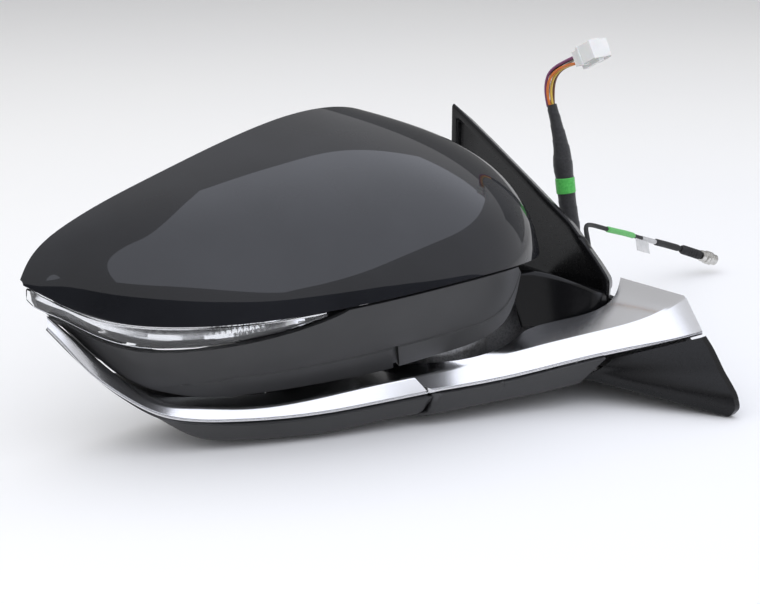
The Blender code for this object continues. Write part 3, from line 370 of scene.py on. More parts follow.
def shell(name, outer, inner, look, body, **extra):
    """A skin between two grids of equal size, closed round its border."""
    rows, columns = outer.shape[:2]
    count = rows * columns
    faces = quads(rows, columns)
    faces += [tuple(count + k for k in face[::-1]) for face in quads(rows, columns)]
    border = list(range(columns))
    border += [i * columns + columns - 1 for i in range(1, rows)]
    border += [(rows - 1) * columns + j for j in range(columns - 2, -1, -1)]
    border += [i * columns for i in range(rows - 2, 0, -1)]
    for a, b in zip(border, border[1:] + border[:1]):
        faces.append((b, a, count + a, count + b))
    points = np.concatenate([outer.reshape(-1, 3), inner.reshape(-1, 3)])
    return add_mesh(name, points, faces, look, body, **extra)


def loft(name, rings, look, body, closed=False, **extra):
    """A solid through rings of equal count: capped at both ends, or closed on itself."""
    rings = np.array(rings, float)
    rows, columns = rings.shape[:2]
    faces = quads(rows, columns, wrap_rows=closed, wrap_columns=True)
    if not closed:
        faces.append(tuple(range(columns)))
        faces.append(tuple((rows - 1) * columns + j for j in range(columns))[::-1])
    return add_mesh(name, rings.reshape(-1, 3), faces, look, body, **extra)


def circle(radius, count):
    turn = np.arange(count) * 2 * math.pi / count
    return np.stack([radius * np.cos(turn), radius * np.sin(turn)], axis=1)


def place(flat, level, axis):
    """Flat outline points, put at one level along the axis."""
    flat = np.asarray(flat, float)
    full = np.full(len(flat), float(level))
    columns = {"X": (full, flat[:, 0], flat[:, 1]), "Y": (flat[:, 0], full, flat[:, 1]),
               "Z": (flat[:, 0], flat[:, 1], full)}[axis]
    return np.stack(columns, axis=1)


def turned(name, centre, profile, axis, look, body, count=48, closed=False, **extra):
    """A round solid from (radius, level) pairs about an axis through the centre."""
    rings = [place(circle(r, count) + centre, level, axis) for r, level in profile]
    return loft(name, rings, look, body, closed, **extra)


def frame_along(line):
    """Unit run, side and over vectors at each point of a line, turning as little as they can."""
    run = np.gradient(line, axis=0)
    run /= np.linalg.norm(run, axis=1)[:, None]
    side = np.cross(run[0], [0.3, 0.2, 1.0])
    sides = []
    for r in run:
        side = side - r * (side @ r)
        side /= np.linalg.norm(side)
        sides.append(side)
    return run, np.array(sides), np.cross(run, sides)


def tube(name, line, radius, look, body, count=20, **extra):
    """A solid tube along a line; radius is a number, or one for each point and angle."""
    _, side, over = frame_along(line)
    turn = np.arange(count) * 2 * math.pi / count
    radius = np.broadcast_to(np.reshape(radius, (-1, 1)) if np.ndim(radius) == 1 else radius,
                             (len(line), count))
    rings = (line[:, None] + side[:, None] * (radius * np.cos(turn))[..., None]
             + over[:, None] * (radius * np.sin(turn))[..., None])
    return loft(name, rings, look, body, **extra)


def cutter(obj, name, centre, radius, low, high, axis="Z", count=48):
    """Drills a round hole into a piece."""
    tool = turned(name, centre, [(radius, low), (radius, high)], axis, None, "base", count)
    subtract(obj, tool)


def corners_of(low, high):
    return [(x, y, z) for x in (low[0], high[0]) for y in (low[1], high[1]) for z in (low[2], high[2])]


def block(name, low, high):
    return add_mesh(name, corners_of(low, high), BOX_FACES, None, "base")


def subtract(obj, tool):
    tool.hide_render = True
    tool.hide_viewport = True
    modifier = obj.modifiers.new("Cut_" + tool.name, "BOOLEAN")
    modifier.operation = "DIFFERENCE"
    modifier.object = tool


# Materials

class Look:
    """A Principled material; each call below adds one procedural detail to it."""

    def __init__(self, name, colour, roughness, metallic=0.0, **sockets):
        self.material = bpy.data.materials.new(name)
        self.material.use_nodes = True
        self.tree = self.material.node_tree
        self.shader = self.tree.nodes["Principled BSDF"]
        self.colour = colour
        self.shader.inputs["Base Color"].default_value = (*colour, 1)
        self.shader.inputs["Roughness"].default_value = roughness
        self.shader.inputs["Metallic"].default_value = metallic
        for socket, value in sockets.items():
            self.shader.inputs[socket.replace("_", " ")].default_value = value
        self.height = None

    def node(self, kind, **inputs):
        made = self.tree.nodes.new(kind)
        for socket, value in inputs.items():
            socket = made.inputs[socket.replace("_", " ")]
            if isinstance(value, bpy.types.NodeSocket):
                self.tree.links.new(value, socket)
            else:
                socket.default_value = value
        return made

    def place(self, stretch):
        coordinates = self.tree.nodes.new("ShaderNodeTexCoord").outputs["Object"]
        if stretch is None:
            return coordinates
        return self.node("ShaderNodeMapping", Vector=coordinates, Scale=stretch).outputs["Vector"]

    def noise(self, scale, detail=3.0, stretch=None):
        made = self.node("ShaderNodeTexNoise", Vector=self.place(stretch), Scale=scale, Detail=detail)
        return made.outputs["Fac"]

    def cells(self, scale, stretch=None):
        made = self.node("ShaderNodeTexVoronoi", Vector=self.place(stretch), Scale=scale)
        return made.outputs["Distance"]

    def wave(self, scale, stretch=None, direction="X"):
        made = self.node("ShaderNodeTexWave", Vector=self.place(stretch), Scale=scale, Distortion=0.4)
        made.bands_direction = direction
        return made.outputs["Fac"]

    def mapped(self, value, low, high, start=0.3, end=0.7):
        made = self.node("ShaderNodeMapRange", Value=value, From_Min=start, From_Max=end, To_Min=low,
                         To_Max=high)
        return made.outputs["Result"]

    def tint(self, value, other, start=0.3, end=0.7):
        """Mixes another colour in where the value is high."""
        mix = self.tree.nodes.new("ShaderNodeMix")
        mix.data_type = "RGBA"
        self.tree.links.new(self.mapped(value, 0, 1, start, end), mix.inputs["Factor"])
        mix.inputs[6].default_value = (*self.colour, 1)
        mix.inputs[7].default_value = (*other, 1)
        base = self.shader.inputs["Base Color"]
        if base.is_linked:
            self.tree.links.new(base.links[0].from_socket, mix.inputs[6])
        self.tree.links.new(mix.outputs[2], base)
        return self

    def rough(self, value, low, high):
        self.tree.links.new(self.mapped(value, low, high), self.shader.inputs["Roughness"])
        return self

    def bump(self, value, distance, strength=1.0):
        made = self.node("ShaderNodeBump", Height=value, Distance=distance * MM, Strength=strength)
        if self.height:
            self.tree.links.new(self.height, made.inputs["Normal"])
        self.height = made.outputs["Normal"]
        self.tree.links.new(self.height, self.shader.inputs["Normal"])
        return self


def paint():
    look = Look("dark_paint", (0.0085, 0.009, 0.0105), 0.32, Specular_IOR_Level=0.04, Coat_Weight=1.0,
                Coat_Roughness=0.015, Coat_IOR=1.52)
    flakes = look.cells(5200)
    look.tint(flakes, (0.02, 0.021, 0.025), 0.0, 0.35)
    look.tint(look.noise(14), (0.0095, 0.010, 0.012))
    return look.rough(look.noise(900), 0.28, 0.36).material


def satin_grey(name="textured_grey", shade=0.026):
    look = Look(name, (shade, shade, shade * 1.04), 0.4, Specular_IOR_Level=0.55)
    look.tint(look.noise(40), (shade * 1.25, shade * 1.25, shade * 1.3))
    look.rough(look.noise(2200, 2), 0.36, 0.46)
    return look.bump(look.noise(2600, 2), 0.012).material


def silver():
    look = Look("satin_silver", (0.74, 0.74, 0.75), 0.2, 1.0)
    look.tint(look.noise(30), (0.78, 0.78, 0.79))
    look.rough(look.noise(1500, 4), 0.17, 0.23)
    return look.bump(look.noise(3800, 2), 0.0015).material


def gloss_black(name, shade, roughness, grain):
    look = Look(name, (shade, shade, shade * 1.12), roughness, Specular_IOR_Level=0.28)
    look.tint(look.noise(25), (shade * 1.4, shade * 1.4, shade * 1.5))
    look.rough(look.noise(700), roughness - 0.03, roughness + 0.05)
    return look.bump(look.noise(1800, 3), grain).material


def rubber():
    look = Look("rubber", (0.014, 0.014, 0.015), 0.72)
    look.tint(look.noise(300), (0.024, 0.024, 0.024))
    return look.bump(look.noise(1500), 0.03).material


def foam():
    look = Look("foam_rubber", (0.018, 0.018, 0.019), 0.9)
    look.tint(look.cells(1500), (0.035, 0.035, 0.036), 0.0, 0.6)
    return look.bump(look.cells(1800), 0.12).material


def nylon():
    look = Look("nylon", (0.035, 0.036, 0.039), 0.5)
    look.tint(look.noise(60), (0.05, 0.05, 0.053))
    look.rough(look.noise(1200), 0.42, 0.58)
    return look.bump(look.noise(2400), 0.015).material


def cast_alloy():
    look = Look("cast_alloy", (0.42, 0.42, 0.43), 0.48, 1.0)
    look.tint(look.noise(50, 5), (0.30, 0.30, 0.31))
    look.tint(look.cells(900), (0.5, 0.5, 0.51), 0.2, 0.7)
    look.rough(look.noise(400, 5), 0.4, 0.62)
    return look.bump(look.noise(900, 4), 0.05).material


def machined(name, colour, roughness):
    look = Look(name, colour, roughness, 1.0)
    look.tint(look.noise(80, 4), tuple(0.8 * c for c in colour))
    look.rough(look.noise(3000, 2, (1, 1, 0.05)), roughness - 0.06, roughness + 0.08)
    return look.bump(look.wave(900, direction="Z"), 0.006).material


def mirror_coat():
    look = Look("mirror", (0.80, 0.82, 0.85), 0.012, 1.0)
    look.tint(look.noise(6), (0.78, 0.81, 0.86))
    return look.rough(look.noise(25), 0.008, 0.02).material


def clear_plastic():
    look = Look("clear_lens", (0.95, 0.955, 0.96), 0.02, Transmission_Weight=1.0, IOR=1.49)
    look.tint(look.noise(12), (0.93, 0.935, 0.94))
    return look.rough(look.noise(200), 0.01, 0.03).material


def chrome_ribs():
    look = Look("reflector", (0.95, 0.95, 0.955), 0.16, 1.0)
    look.tint(look.noise(30), (0.92, 0.92, 0.93))
    look.rough(look.noise(300), 0.13, 0.2)
    return look.bump(look.noise(500), 0.002).material


def circuit():
    look = Look("circuit_board", (0.01, 0.09, 0.03), 0.4)
    look.tint(look.wave(260, direction="Z"), (0.015, 0.16, 0.05), 0.75, 0.85)
    look.tint(look.cells(420), (0.55, 0.42, 0.12), 0.06, 0.0)
    return look.bump(look.wave(260), 0.02).material


def foil():
    look = Look("heater_foil", (0.42, 0.20, 0.05), 0.45)
    look.tint(look.wave(130), (0.25, 0.22, 0.2), 0.8, 0.9)
    return look.bump(look.noise(300), 0.03).material


def cloth_tape(name, colour, lift):
    look = Look(name, colour, 0.62, Sheen_Weight=0.25, Sheen_Roughness=0.5)
    weave = look.wave(2100, direction="Z")
    look.tint(look.noise(900), lift)
    look.rough(look.noise(700), 0.5, 0.75)
    return look.bump(weave, 0.02).bump(look.noise(400), 0.05).material


def insulation(name, colour):
    look = Look(name, colour, 0.34)
    look.tint(look.noise(400), tuple(min(1, 0.8 * c + 0.02) for c in colour))
    look.rough(look.noise(900), 0.28, 0.42)
    return look.bump(look.noise(1200), 0.008).material


def white_nylon():
    look = Look("white_plastic", (0.83, 0.83, 0.81), 0.42, Subsurface_Weight=0.12, Subsurface_Scale=0.002)
    look.tint(look.noise(90), (0.76, 0.76, 0.74))
    look.rough(look.noise(900), 0.36, 0.5)
    return look.bump(look.noise(1500), 0.012).material


def film():
    look = Look("clear_film", (0.86, 0.86, 0.86), 0.25, Transmission_Weight=0.35, IOR=1.4)
    look.tint(look.noise(300), (0.7, 0.7, 0.7))
    return look.bump(look.noise(200), 0.15).material


def dark_glass():
    look = Look("eye_glass", (0.004, 0.004, 0.006), 0.06, Coat_Weight=1.0, Coat_Roughness=0.01)
    look.tint(look.noise(200), (0.01, 0.006, 0.014))
    return look.rough(look.noise(500), 0.04, 0.08).material


def glow(name, strength, colour=(1, 1, 1)):
    made = bpy.data.materials.new(name)
    made.use_nodes = True
    tree = made.node_tree
    tree.nodes.remove(tree.nodes["Principled BSDF"])
    light = tree.nodes.new("ShaderNodeEmission")
    light.inputs["Color"].default_value = (*colour, 1)
    light.inputs["Strength"].default_value = strength
    tree.links.new(light.outputs[0], tree.nodes["Material Output"].inputs["Surface"])
    return made


def paper():
    look = Look("paper_sweep", (0.91, 0.91, 0.91), 0.75)
    look.tint(look.noise(3), (0.90, 0.90, 0.905))
    return look.bump(look.noise(800), 0.01).material


def black_cloth():
    look = Look("black_cloth", (0.004, 0.004, 0.004), 0.95, Specular_IOR_Level=0.0)
    return look.tint(look.noise(60), (0.006, 0.006, 0.006)).material


PAINT = paint()
GREY = satin_grey()
SILVER = silver()
BLACK = gloss_black("black_cover", 0.005, 0.24, 0.004)
NECK_BLACK = gloss_black("black_gloss", 0.005, 0.16, 0.002)
RIM_BLACK = satin_grey("black_textured", 0.016)
RUBBER, FOAM, NYLON, ALLOY = rubber(), foam(), nylon(), cast_alloy()
STEEL = machined("steel", (0.56, 0.56, 0.57), 0.3)
BRASS = machined("gear_metal", (0.68, 0.50, 0.24), 0.32)
PLATED = machined("plated_steel", (0.72, 0.71, 0.68), 0.24)
MIRROR, CLEAR, CHROME = mirror_coat(), clear_plastic(), chrome_ribs()
BOARD, FOIL, FILM, EYE = circuit(), foil(), film(), dark_glass()
TAPE = cloth_tape("cloth_tape", (0.012, 0.012, 0.013), (0.022, 0.022, 0.024))
GREEN = cloth_tape("green_tape", (0.05, 0.42, 0.06), (0.10, 0.55, 0.10))
WHITE = white_nylon()
WIRE_COLOURS = {"orange": (0.75, 0.20, 0.03), "yellow": (0.75, 0.52, 0.08), "brown": (0.16, 0.06, 0.03),
                "violet": (0.22, 0.06, 0.16), "black": (0.012, 0.012, 0.012), "grey": (0.62, 0.60, 0.58)}


# Camera and stage

def view_axes():
    back = Vector((math.sin(VIEW_AZIMUTH) * math.cos(VIEW_ELEVATION),
                   -math.cos(VIEW_AZIMUTH) * math.cos(VIEW_ELEVATION), math.sin(VIEW_ELEVATION)))
    right = (-back).cross(Vector((0, 0, 1))).normalized()
    return right, right.cross(-back), back


def camera():
    right, up, back = view_axes()
    data = bpy.data.cameras.new("camera")
    data.sensor_width = 36
    data.lens = LENS_MM
    data.clip_start = 0.02
    obj = bpy.data.objects.new("camera", data)
    SCENE.collection.objects.link(obj)
    spot = -VIEW_DISTANCE * (-back + right * ORIGIN_ASIDE[0] + up * ORIGIN_ASIDE[1])
    obj.matrix_world = Matrix.Translation(spot) @ Matrix((right, up, back)).transposed().to_4x4()
    SCENE.camera = obj


def ground_point(right, away, height):
    """A point by its distance to the right of and away from the camera's own heading, in metres."""
    axis, _, back = view_axes()
    ahead = Vector((-back.x, -back.y, 0)).normalized()
    return axis * right + ahead * away + Vector((0, 0, height))


def stage_mesh(name, points, faces, look, shown=True):
    mesh = bpy.data.meshes.new(name)
    mesh.from_pydata([tuple(p) for p in points], [], faces)
    mesh.shade_smooth()
    mesh.materials.append(look)
    obj = bpy.data.objects.new(name, mesh)
    SCENE.collection.objects.link(obj)
    obj.visible_camera = shown
    return obj


def sweep():
    """The floor, rising in a wide curve behind the object, with its near part kept out of reflections."""
    profile = [(FLOOR_NEAR, 0.0), (FLOOR_FAR, 0.0)]
    for turn in np.radians(np.linspace(10, 50, 8)):
        profile.append((FLOOR_FAR + FLOOR_BEND * math.sin(turn), FLOOR_BEND * (1 - math.cos(turn))))
    sides = (-FLOOR_SIDE, FLOOR_SIDE)
    points = [ground_point(side, away, FLOOR_Z * MM + rise) for away, rise in profile for side in sides]
    look = paper()
    stage_mesh("sweep", points, quads(len(profile), 2), look)
    near = [(side, away) for away in (-FLOOR_SIDE, FLOOR_NEAR) for side in sides]
    points = [ground_point(side, away, FLOOR_Z * MM) for side, away in near]
    apron = stage_mesh("near_floor", points, quads(2, 2), look)
    apron.visible_glossy = False


def hidden_panel(name, corners, look):
    """A flat sheet that lights the object and that the camera doesn't see."""
    return stage_mesh(name, corners, [tuple(range(len(corners)))], look, shown=False)


def lights():
    """An overhead soft panel with one corner cut off, a wide fill above it, and a dim room."""
    panel = [ground_point(right, away, PANEL_HEIGHT) for right, away in PANEL]
    hidden_panel("soft_panel", panel, glow("panel_light", PANEL_GLOW, PANEL_COLOUR))
    wide = [ground_point(right, away, FILL_HEIGHT) for right, away in FILL]
    fill = hidden_panel("fill_panel", wide, glow("fill_light", FILL_GLOW))
    fill.visible_glossy = False
    world = bpy.data.worlds.new("room")
    world.use_nodes = True
    sky = world.node_tree.nodes["Background"]
    sky.inputs["Color"].default_value = (ROOM_GLOW, ROOM_GLOW, ROOM_GLOW * 1.02, 1)
    SCENE.world = world


def dark_card():
    """A black cloth from the table's near edge to beyond the camera, and a dim wall far behind."""
    cloth = []
    for side, top in CLOTH_TOPS:
        cloth.append(ground_point(side * 0.9, CLOTH_NEAR, FLOOR_Z * MM - CLOTH_DROP))
        cloth.append(ground_point(side, CLOTH_FAR, top))
    hung = stage_mesh("dark_cloth", cloth, quads(len(CLOTH_TOPS), 2), black_cloth(), shown=False)
    hung.visible_shadow = False
    hung.visible_diffuse = False
    ends = ((-WALL_SIDE, 0), (WALL_SIDE, 0), (WALL_SIDE, WALL_HEIGHT), (-WALL_SIDE, WALL_HEIGHT))
    wall = [ground_point(side, WALL_AWAY, height) for side, height in ends]
    hidden_panel("dim_wall", wall, glow("wall_light", WALL_GLOW))


# The head's outside

def cap():
    ends = np.linspace(0.006, 0.08, 26), np.linspace(0.945, 0.988, 18)
    u = np.concatenate([ends[0], np.linspace(0.09, 0.94, 130), ends[1]])
    v = np.linspace(0, 1, 56)
    grid = cap_grid(u, v)
    shell("cap", grid, grid + SKIN * normals(grid), PAINT, "head", replaces=["mirror_cap"], slot="dark_paint",
          bevel=0.5)


def housing():
    """The wall under the cap, with a ledge along its lower part and a narrow slot across that band."""
    steps = [SLOT_U[0] - SLOT_STEP, *SLOT_U, SLOT_U[1] + SLOT_STEP]
    u = np.unique(np.concatenate([np.linspace(0.06, 0.985, 150), steps]))
    top = (lens_share(u) + seam_share(u))[:, None]
    ledge = np.maximum(np.interp(u, *np.transpose(LEDGE))[:, None], top + 0.02)
    upper = top + (ledge - top) * np.linspace(0, 1, 22)
    lower = ledge + 0.012 + (1 - ledge - 0.012) * np.linspace(0, 1, 12)
    grid = wall_grid(u, np.concatenate([upper, lower], axis=1))
    inside = normals(grid)
    rise = np.interp(u, [0.29, 0.36, 0.90, 0.96], [-0.9, 0.6, 0.6, 0.2])
    rise[(u >= SLOT_U[0]) & (u <= SLOT_U[1])] = -SLOT_DEPTH
    push = np.zeros(grid.shape[:2])
    push[:, 22:] = rise[:, None]
    shell("housing", grid - inside * push[..., None], grid + inside * SKIN, GREY, "head",
          replaces=["lower_housing"], slot="textured_grey", bevel=0.25)


def lens_surface(ends, count, columns, depth):
    u = np.linspace(*ends, count)
    seam = seam_share(u)[:, None]
    height = lens_share(u)[:, None] - 2 * seam
    grid = wall_grid(u, seam + height * columns)
    return u, grid + depth * normals(grid), normals(grid)


def ridge_share(u, across):
    """From 0 at the lens's edges to 1 on its ridge, which climbs towards the inner end."""
    known = [0.014, 0.17, 0.24, 0.34, 0.43, 0.50, 0.56]
    ridge = np.interp(u, known, [0.5, 0.5, 0.53, 0.68, 0.78, 0.85, 0.9])[:, None]
    return np.minimum(across / ridge, (1 - across) / (1 - ridge))


def lens():
    """The turn lamp: a clear lens with a long ridge, a ribbed bright reflector and its board behind."""
    across = np.linspace(0, 1, 22)
    u, grid, inside = lens_surface((0.014, 0.56), 190, across, 0)
    crest = np.interp(u, [0.014, 0.12, 0.45, 0.56], [0.3, 1.0, 0.8, 0.1])[:, None]
    push = crest * (1 - (1 - ridge_share(u, across)) ** 1.6)
    shell("lens", grid - inside * push[..., None], grid + inside * 1.6, CLEAR, "head", replaces=["lamp_lens"],
          slot="clear_lens", bevel=0.2)
    across = np.linspace(0, 1, 9)
    u, grid, inside = lens_surface((0.03, 0.52), 420, across, 2.0)
    patch = np.exp(-((u - 0.41) / 0.045) ** 2)
    ribs = 0.7 * patch[:, None] * np.abs(np.sin(u * 300))[:, None] * np.abs(np.sin(9 * across))
    slope = 2.2 * (1 - ridge_share(u, across))
    shell("reflector", grid + inside * (ribs + slope)[..., None], grid + inside * 3.6, CHROME, "head",
          replaces=["lamp_reflector"], slot="reflector")


def trim_lines(edge, crease, shelf, lip):
    """Lines across a bright trim: a lip and a fine groove under the front band, then the crease and shelf."""
    side = inward(edge, 1.0) - edge
    return [edge + side * 1.3 - [0, 0, lip + 0.2], edge + side * 0.2 - [0, 0, lip], edge - [0, 0, lip - 0.5],
            edge + side * 0.1 - [0, 0, 0.55], edge + side * 0.75 - [0, 0, 0.35], edge + side * 0.25,
            crease, shelf]


def back_lines(edge, crease, shelf, lip, thick):
    side = inward(edge, 1.0) - edge
    back = edge + side * 1.5
    down = [0, 0, thick]
    return [back - [0, 0, lip + 0.2], back - [0, 0, lip], back - [0, 0, lip - 0.5], back - [0, 0, 0.9],
            back - [0, 0, 0.8], back - [0, 0, 0.7], crease + side * 0.6 - down, shelf - down]


def strip():
    """The bright strip under the head, from its tip to the seam."""
    t = np.linspace(0, 1, 260)
    edge, crease = spline(STRIP_EDGE, t), spline(STRIP_CREASE, t)
    steep = (1 - t / 0.5).clip(min=0)
    edge[:, 2] -= 3.0 * steep
    crease[:, 2] += 0.8 * steep
    known, wide, rise = np.transpose(STRIP_SHELF)
    shelf = inward(crease, np.interp(t, known, wide))
    shelf[:, 2] += np.interp(t, known, rise)
    outer = soft_section(trim_lines(edge, crease, shelf, 1.6), TRIM_REACHES)
    inner = soft_section(back_lines(edge, crease, shelf, 1.6, 1.5), TRIM_REACHES)
    radius = SPLIT_R + SPLIT_GAP / 2
    shell("strip", cut_at_seam(outer, radius, True), cut_at_seam(inner, radius, True), SILVER, "head",
          replaces=["head_trim"], slot="satin_silver", bevel=0.15)


def arm():
    """The bright top of the foot, from the seam to the door, where it sweeps up."""
    t = np.linspace(0, 1, 260)
    edge, crease, rear = spline(FOOT_EDGE, t), spline(FOOT_CREASE, t), spline(FOOT_REAR, t)
    outer = soft_section(trim_lines(edge, crease, rear, 1.8), TRIM_REACHES)
    inner = soft_section(back_lines(edge, crease, rear, 1.8, 1.8), TRIM_REACHES)
    radius = SPLIT_R - SPLIT_GAP / 2
    shell("arm", cut_at_seam(outer, radius, False), cut_at_seam(inner, radius, False), SILVER, "base",
          replaces=["arm_trim"], slot="satin_silver", bevel=0.15)


def head_under():
    """The satin cover under the head, with room for the camera and the ground lamp."""
    t = np.linspace(0.02, 1, 200)
    tuck = 4.5 * (1 - t / 0.42).clip(min=0)
    top = inward(spline(STRIP_EDGE, t), 0.6 + tuck, 2.2)
    low, rear = inward(spline(COVER_EDGE, t), tuck), spline(COVER_REAR, t)
    bend = low + (rear - low) * 0.05 - [0, 0, 0.4]
    half = low + (rear - low) * 0.5 - [0, 0, 2.0]
    near = low + (rear - low) * 0.85 - [0, 0, 0.8]
    grid = soft_section([top, low, bend, half, near, rear], [2.5, 2.5, 14, 5])
    cover = shell("head_under", grid, grid - 2.0 * normals(grid), GREY, "head", replaces=["head_lower_cover"],
                  slot="textured_grey")
    cutter(cover, "head_seam", PIVOT, SPLIT_R + SPLIT_GAP / 2, -60, 60, count=96)
    cutter(cover, "camera_hole", CAMERA_EYE, 9.4, -60, 40)
    cutter(cover, "lamp_hole", GROUND_LAMP, 11.4, -60, 40)
    cover.data.set_sharp_from_angle(angle=math.radians(60))


def foot_under():
    """The satin cover under the foot."""
    t = np.linspace(0, 1, 180)
    top = spline(FOOT_EDGE, t * t_at(FOOT_EDGE, -40.5)) - [0, -0.5, 2.4]
    low, rear = spline(FOOT_BOTTOM, t), spline(FOOT_UNDER, t)
    bend = low + (rear - low) * 0.06 - [0, 0, 0.4]
    half = low + (rear - low) * 0.5
    brim = rear * [1, 1, 0] + [0, 3, -1.2]
    deck = spline(FOOT_DECK, t) - [0, 0, 1.2]
    grid = soft_section([top, low, bend, half, rear, brim, deck], [2.5, 2.5, 14, 4, 2])
    cover = shell("foot_under", grid, grid - 2.0 * normals(grid), GREY, "base",
                  replaces=["foot_lower_cover"], slot="textured_grey")
    arc = np.radians(np.linspace(-90, -270, 60))[:, None]
    seam = PIVOT + (SPLIT_R - SPLIT_GAP / 2) * np.concatenate([np.cos(arc), np.sin(arc)], axis=1)
    outline = np.concatenate([[(-200, -60), (-90, -60)], seam, [(-90, 170), (-200, 170)]])
    subtract(cover, loft("foot_seam", [place(outline, -60, "Z"), place(outline, 60, "Z")], None, "base"))
    cover.data.set_sharp_from_angle(angle=math.radians(60))


def rim_ring(distance, forward):
    """The head's rear rim moved in by a distance and forwards."""
    t = np.linspace(0, 1, 160)
    loop = np.concatenate([spline(RIM_TOP, t), spline(RIM_LOW, t)[::-1][1:-1]])
    flat = inset(loop[:, [0, 2]], distance)
    found = polar_loop(np.column_stack([flat, loop[:, 1]]), GLASS_CENTRE, TURNS)
    return np.column_stack([found[:, 0], found[:, 2] - forward, found[:, 1]])


def glass_ring(distance, y):
    """The glass outline grown by a distance, at one depth."""
    closed = [(x, z, 0) for x, z in GLASS + GLASS[:3]]
    line = spline(closed, np.linspace(0, 1, 400))[:, :2]
    return place(inset(polar_loop(line, GLASS_CENTRE, TURNS), -distance), y, "Y")


def surround():
    """The black ring between the head's rim and the glass."""
    rings = [rim_ring(4.0, 1.4), rim_ring(4.3, 0.7), rim_ring(5.0, 0.5)]
    rings += [glass_ring(4.4, 126.5), glass_ring(3.8, 126.2), glass_ring(3.6, 125.6), glass_ring(3.0, 115)]
    rings += [glass_ring(4.3, 115), glass_ring(5.2, 124), rim_ring(4.6, 3.0)]
    loft("surround", rings, RIM_BLACK, "head", closed=True, replaces=["glass_surround"], slot="black_cover")


def glass():
    """The mirror glass: slightly domed, with a ground edge."""
    edge = [(0.4, GLASS_FRONT - GLASS_THICK), (0, GLASS_FRONT - GLASS_THICK + 0.4), (0, GLASS_FRONT - 0.9),
            (0.2, GLASS_FRONT - 0.5), (0.7, GLASS_FRONT - 0.2)]
    rings = [glass_ring(-inset_by, y) for inset_by, y in edge]
    centre = np.array([GLASS_CENTRE[0], 0, GLASS_CENTRE[1]])
    for share in np.linspace(0.94, 0.06, 12):
        ring = centre + (rings[4] - centre) * share
        ring[:, 1] = GLASS_FRONT - 0.2 + 0.9 * (1 - share ** 2)
        rings.append(ring)
    loft("glass", rings, MIRROR, "glass", replaces=["mirror_glass"], slot="mirror")


# The door side

def sail():
    """The triangular door plate: a raised rim round a sunk face, over a thin back plate."""
    face = SAIL_FACE
    profile = [(5.8, 3.7), (5.2, 3.5), (4.4, 0.5), (4.1, 0.08), (3.8, 0), (1.4, 0), (0.8, 0.12), (0.3, 0.5),
               (0, 1.2), (5.0, 9.4), (7.2, 9.4), (7.3, SAIL_BACK - face)]
    rings = [place(corner_loop(SAIL, d, 3.0), face + x, "X") for d, x in profile]
    plate = loft("sail", rings, BLACK, "base", replaces=["sail_cover"], slot="black_cover")
    subtract(plate, block("sail_bottom_gap", (SAIL_BACK - 0.1, 11, 0), (1, 126.9, 19.5)))
    subtract(plate, block("sail_arm_gap", (-20, 33.5, 0), (0, 63, 15.5)))
    slot = np.array([(36, 45.2), (29, 40.4)])
    tool = block("sail_slot", (SAIL_FACE - 1, -4.2, -0.55), (SAIL_FACE + 2.2, 4.2, 0.55))
    lean = math.atan2(slot[0][1] - slot[1][1], slot[0][0] - slot[1][0])
    middle = slot.mean(axis=0)
    middle = Matrix.Translation((0, middle[0] * MM, middle[1] * MM))
    tool.data.transform(middle @ Matrix.Rotation(lean, 4, "X"))
    subtract(plate, tool)


def neck():
    """The cowl over the arm, from the sail to the turret, with a crease along its front."""
    stations = np.linspace(SAIL_FACE - 0.5, -58, 70)
    known = sorted(NECK)
    share = (stations - known[0]) / (known[-1] - known[0])
    points = np.array([(x, *NECK[x]) for x in known], float)
    table = spline(points, np.interp(stations, known, knot_shares(points)))
    front, crease, top, rear = table[:, 1:].T
    low = 4 + 3.5 * (1 - share) ** 1.4
    columns = [(front, low), (crease, top), ((crease + rear) / 2, top + 1.2), (rear, top - 0.5),
               (rear, 3 + 0 * low)]
    lines = [np.stack([stations, y, z], axis=1) for y, z in columns]
    outer = soft_section(lines, [2.6, 16, 7], steps=8)
    shell("neck", outer, outer + 2.2 * normals(outer), NECK_BLACK, "base", replaces=["neck_cover"],
          slot="black_cover", bevel=0.3)


def toe():
    """The black door-side skirt below the arm."""
    down = spline(TOE, np.linspace(0, 1, 8))
    door = np.array([(-0.6, y, z) for y, z in down] + [(-0.6, y, -29.5) for y in (-40, 10, 62)])
    far = np.array(TOE_FAR, float)
    inner = door.copy()
    inner[:, 0] = SAIL_BACK
    rows = [door, inner] + [inner + (far - inner) * share for share in np.linspace(0.04, 1.0, 24)]
    reaches = [2.2] * (len(door) - 2)
    outer = np.stack([soft_section(list(row[:, None]), reaches)[0] for row in rows])
    shell("toe", outer, outer - 2.0 * normals(outer), BLACK, "base", replaces=["toe_cover"],
          slot="black_cover", bevel=0.3)


def studs():
    """Threaded studs with a plain lead-in."""
    for number, spot in enumerate(STUDS, 1):
        profile = [(3.0, SAIL_BACK + 0.4), (3.0, 3.5)]
        for level in np.arange(4.0, 22.0, 1.0):
            profile += [(2.55, level), (3.0, level + 0.45), (3.0, level + 0.55)]
        profile += [(2.5, 22.4), (2.5, 23.4), (1.9, 24)]
        turned(f"stud_{number}", spot, profile, "X", STEEL, "base", count=32,
               replaces=[f"door_stud_{number}"], slot="steel")


